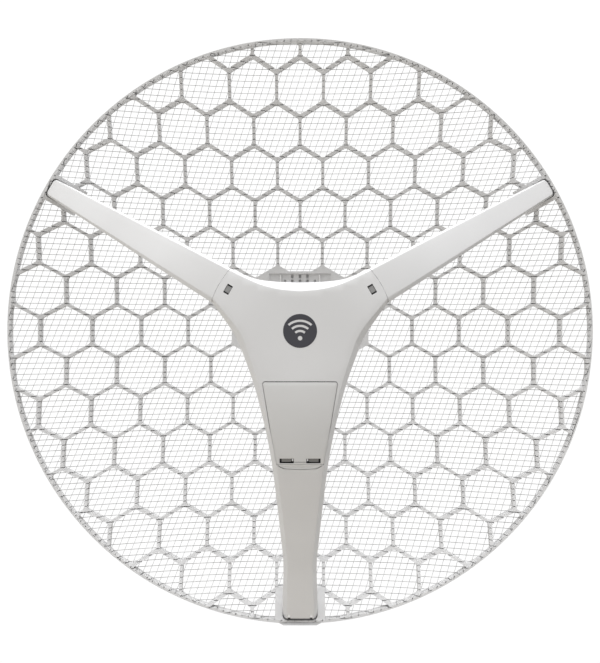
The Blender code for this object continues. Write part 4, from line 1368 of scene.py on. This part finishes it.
def build_world():
    """A soft light tent around the antenna, white behind it."""
    world = bpy.data.worlds.new("studio")
    bpy.context.scene.world = world
    world.use_nodes = True
    nodes, links = world.node_tree.nodes, world.node_tree.links
    spot = nodes.new("ShaderNodeTexCoord")
    axes = nodes.new("ShaderNodeSeparateXYZ")
    links.new(spot.outputs["Generated"], axes.inputs["Vector"])

    def math(operation, first, second):
        node = nodes.new("ShaderNodeMath")
        node.operation = operation
        for value, socket in zip((first, second), node.inputs):
            if isinstance(value, float):
                socket.default_value = value
            else:
                links.new(value, socket)
        return node.outputs["Value"]

    x, y, z = (axes.outputs[name] for name in "XYZ")
    above = math("POWER", math("MAXIMUM", z, 0.0), 4.0)
    corner = math("MULTIPLY", x, math("MINIMUM", z, 0.0))
    tone = math("ADD", math("MULTIPLY", above, TENT_TOP), TENT_MEAN)
    tone = math("ADD", tone, math("MULTIPLY", x, TENT_RIGHT))
    tone = math("ADD", tone, math("MULTIPLY", z, TENT_RISE))
    tone = math("ADD", tone, math("MULTIPLY", corner, TENT_CORNER))
    tone = math("MAXIMUM", tone, 0.1)
    card = nodes.new("ShaderNodeMapRange")
    card.inputs["From Min"].default_value = 0.88
    card.inputs["From Max"].default_value = 0.925
    links.new(y, card.inputs["Value"])
    mix = nodes.new("ShaderNodeMix")
    links.new(card.outputs["Result"], mix.inputs["Factor"])
    links.new(tone, mix.inputs["A"])
    mix.inputs["B"].default_value = 1.03
    tint = nodes.new("ShaderNodeMix")
    tint.data_type = "RGBA"
    tint.inputs["A"].default_value = (1.055, 0.995, 0.885, 1)
    tint.inputs["B"].default_value = (1.0, 1.0, 1.0, 1)
    blend = nodes.new("ShaderNodeMapRange")
    blend.inputs["From Min"].default_value = -0.5
    blend.inputs["From Max"].default_value = 0.1
    links.new(z, blend.inputs["Value"])
    links.new(math("MAXIMUM", blend.outputs["Result"], card.outputs["Result"]), tint.inputs["Factor"])
    glow = nodes.new("ShaderNodeVectorMath")
    glow.operation = "SCALE"
    links.new(tint.outputs[2], glow.inputs["Vector"])
    links.new(mix.outputs["Result"], glow.inputs["Scale"])
    background = nodes["Background"]
    links.new(glow.outputs["Vector"], background.inputs["Color"])
    background.inputs["Strength"].default_value = 1.0


def build_light():
    """A large soft light above the antenna, a little to the left and in front."""
    data = bpy.data.lights.new("top_softbox", "AREA")
    data.shape = "DISK"
    data.size = 1.3
    data.energy = 1.5
    light = bpy.data.objects.new("top_softbox", data)
    light.location = (-0.25, -0.5, 1.9)
    light.rotation_euler = (Vector((0, -0.2, 0)) - light.location).to_track_quat("-Z", "Y").to_euler()
    bpy.context.scene.collection.objects.link(light)


def build_camera():
    data = bpy.data.cameras.new("camera")
    data.sensor_width = 36.0
    data.lens = 64.6
    data.shift_x = -0.0001
    data.shift_y = -0.0009
    data.clip_start = 0.05
    camera = bpy.data.objects.new("camera", data)
    camera.location = (0, (VERTEX_Y - CAMERA_DISTANCE) * MM, 0)
    camera.rotation_euler = (pi / 2, 0, 0)
    bpy.context.scene.collection.objects.link(camera)
    bpy.context.scene.camera = camera


bpy.context.scene.view_settings.view_transform = "Standard"
build_camera()
build_world()
build_light()
build_stage()
build_reflector_frame()
build_hub_posts()
build_woven_mesh()
build_front_cover()
build_rear_cover()
build_arm("left")
build_arm("right")
build_door()
build_latch()
build_catch_window_shade()
build_leg_catches()
build_badge()
build_hinge_bolt("pivot")
build_hinge_bolt("lock")
build_u_bolt("upper", "upper_clamp_bolt")
build_u_bolt("lower", "lower_clamp_bolt")
dress_cad_nodes()
seen_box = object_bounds()
[[list(corner) for corner in box] for box in (cad_box, seen_box)]
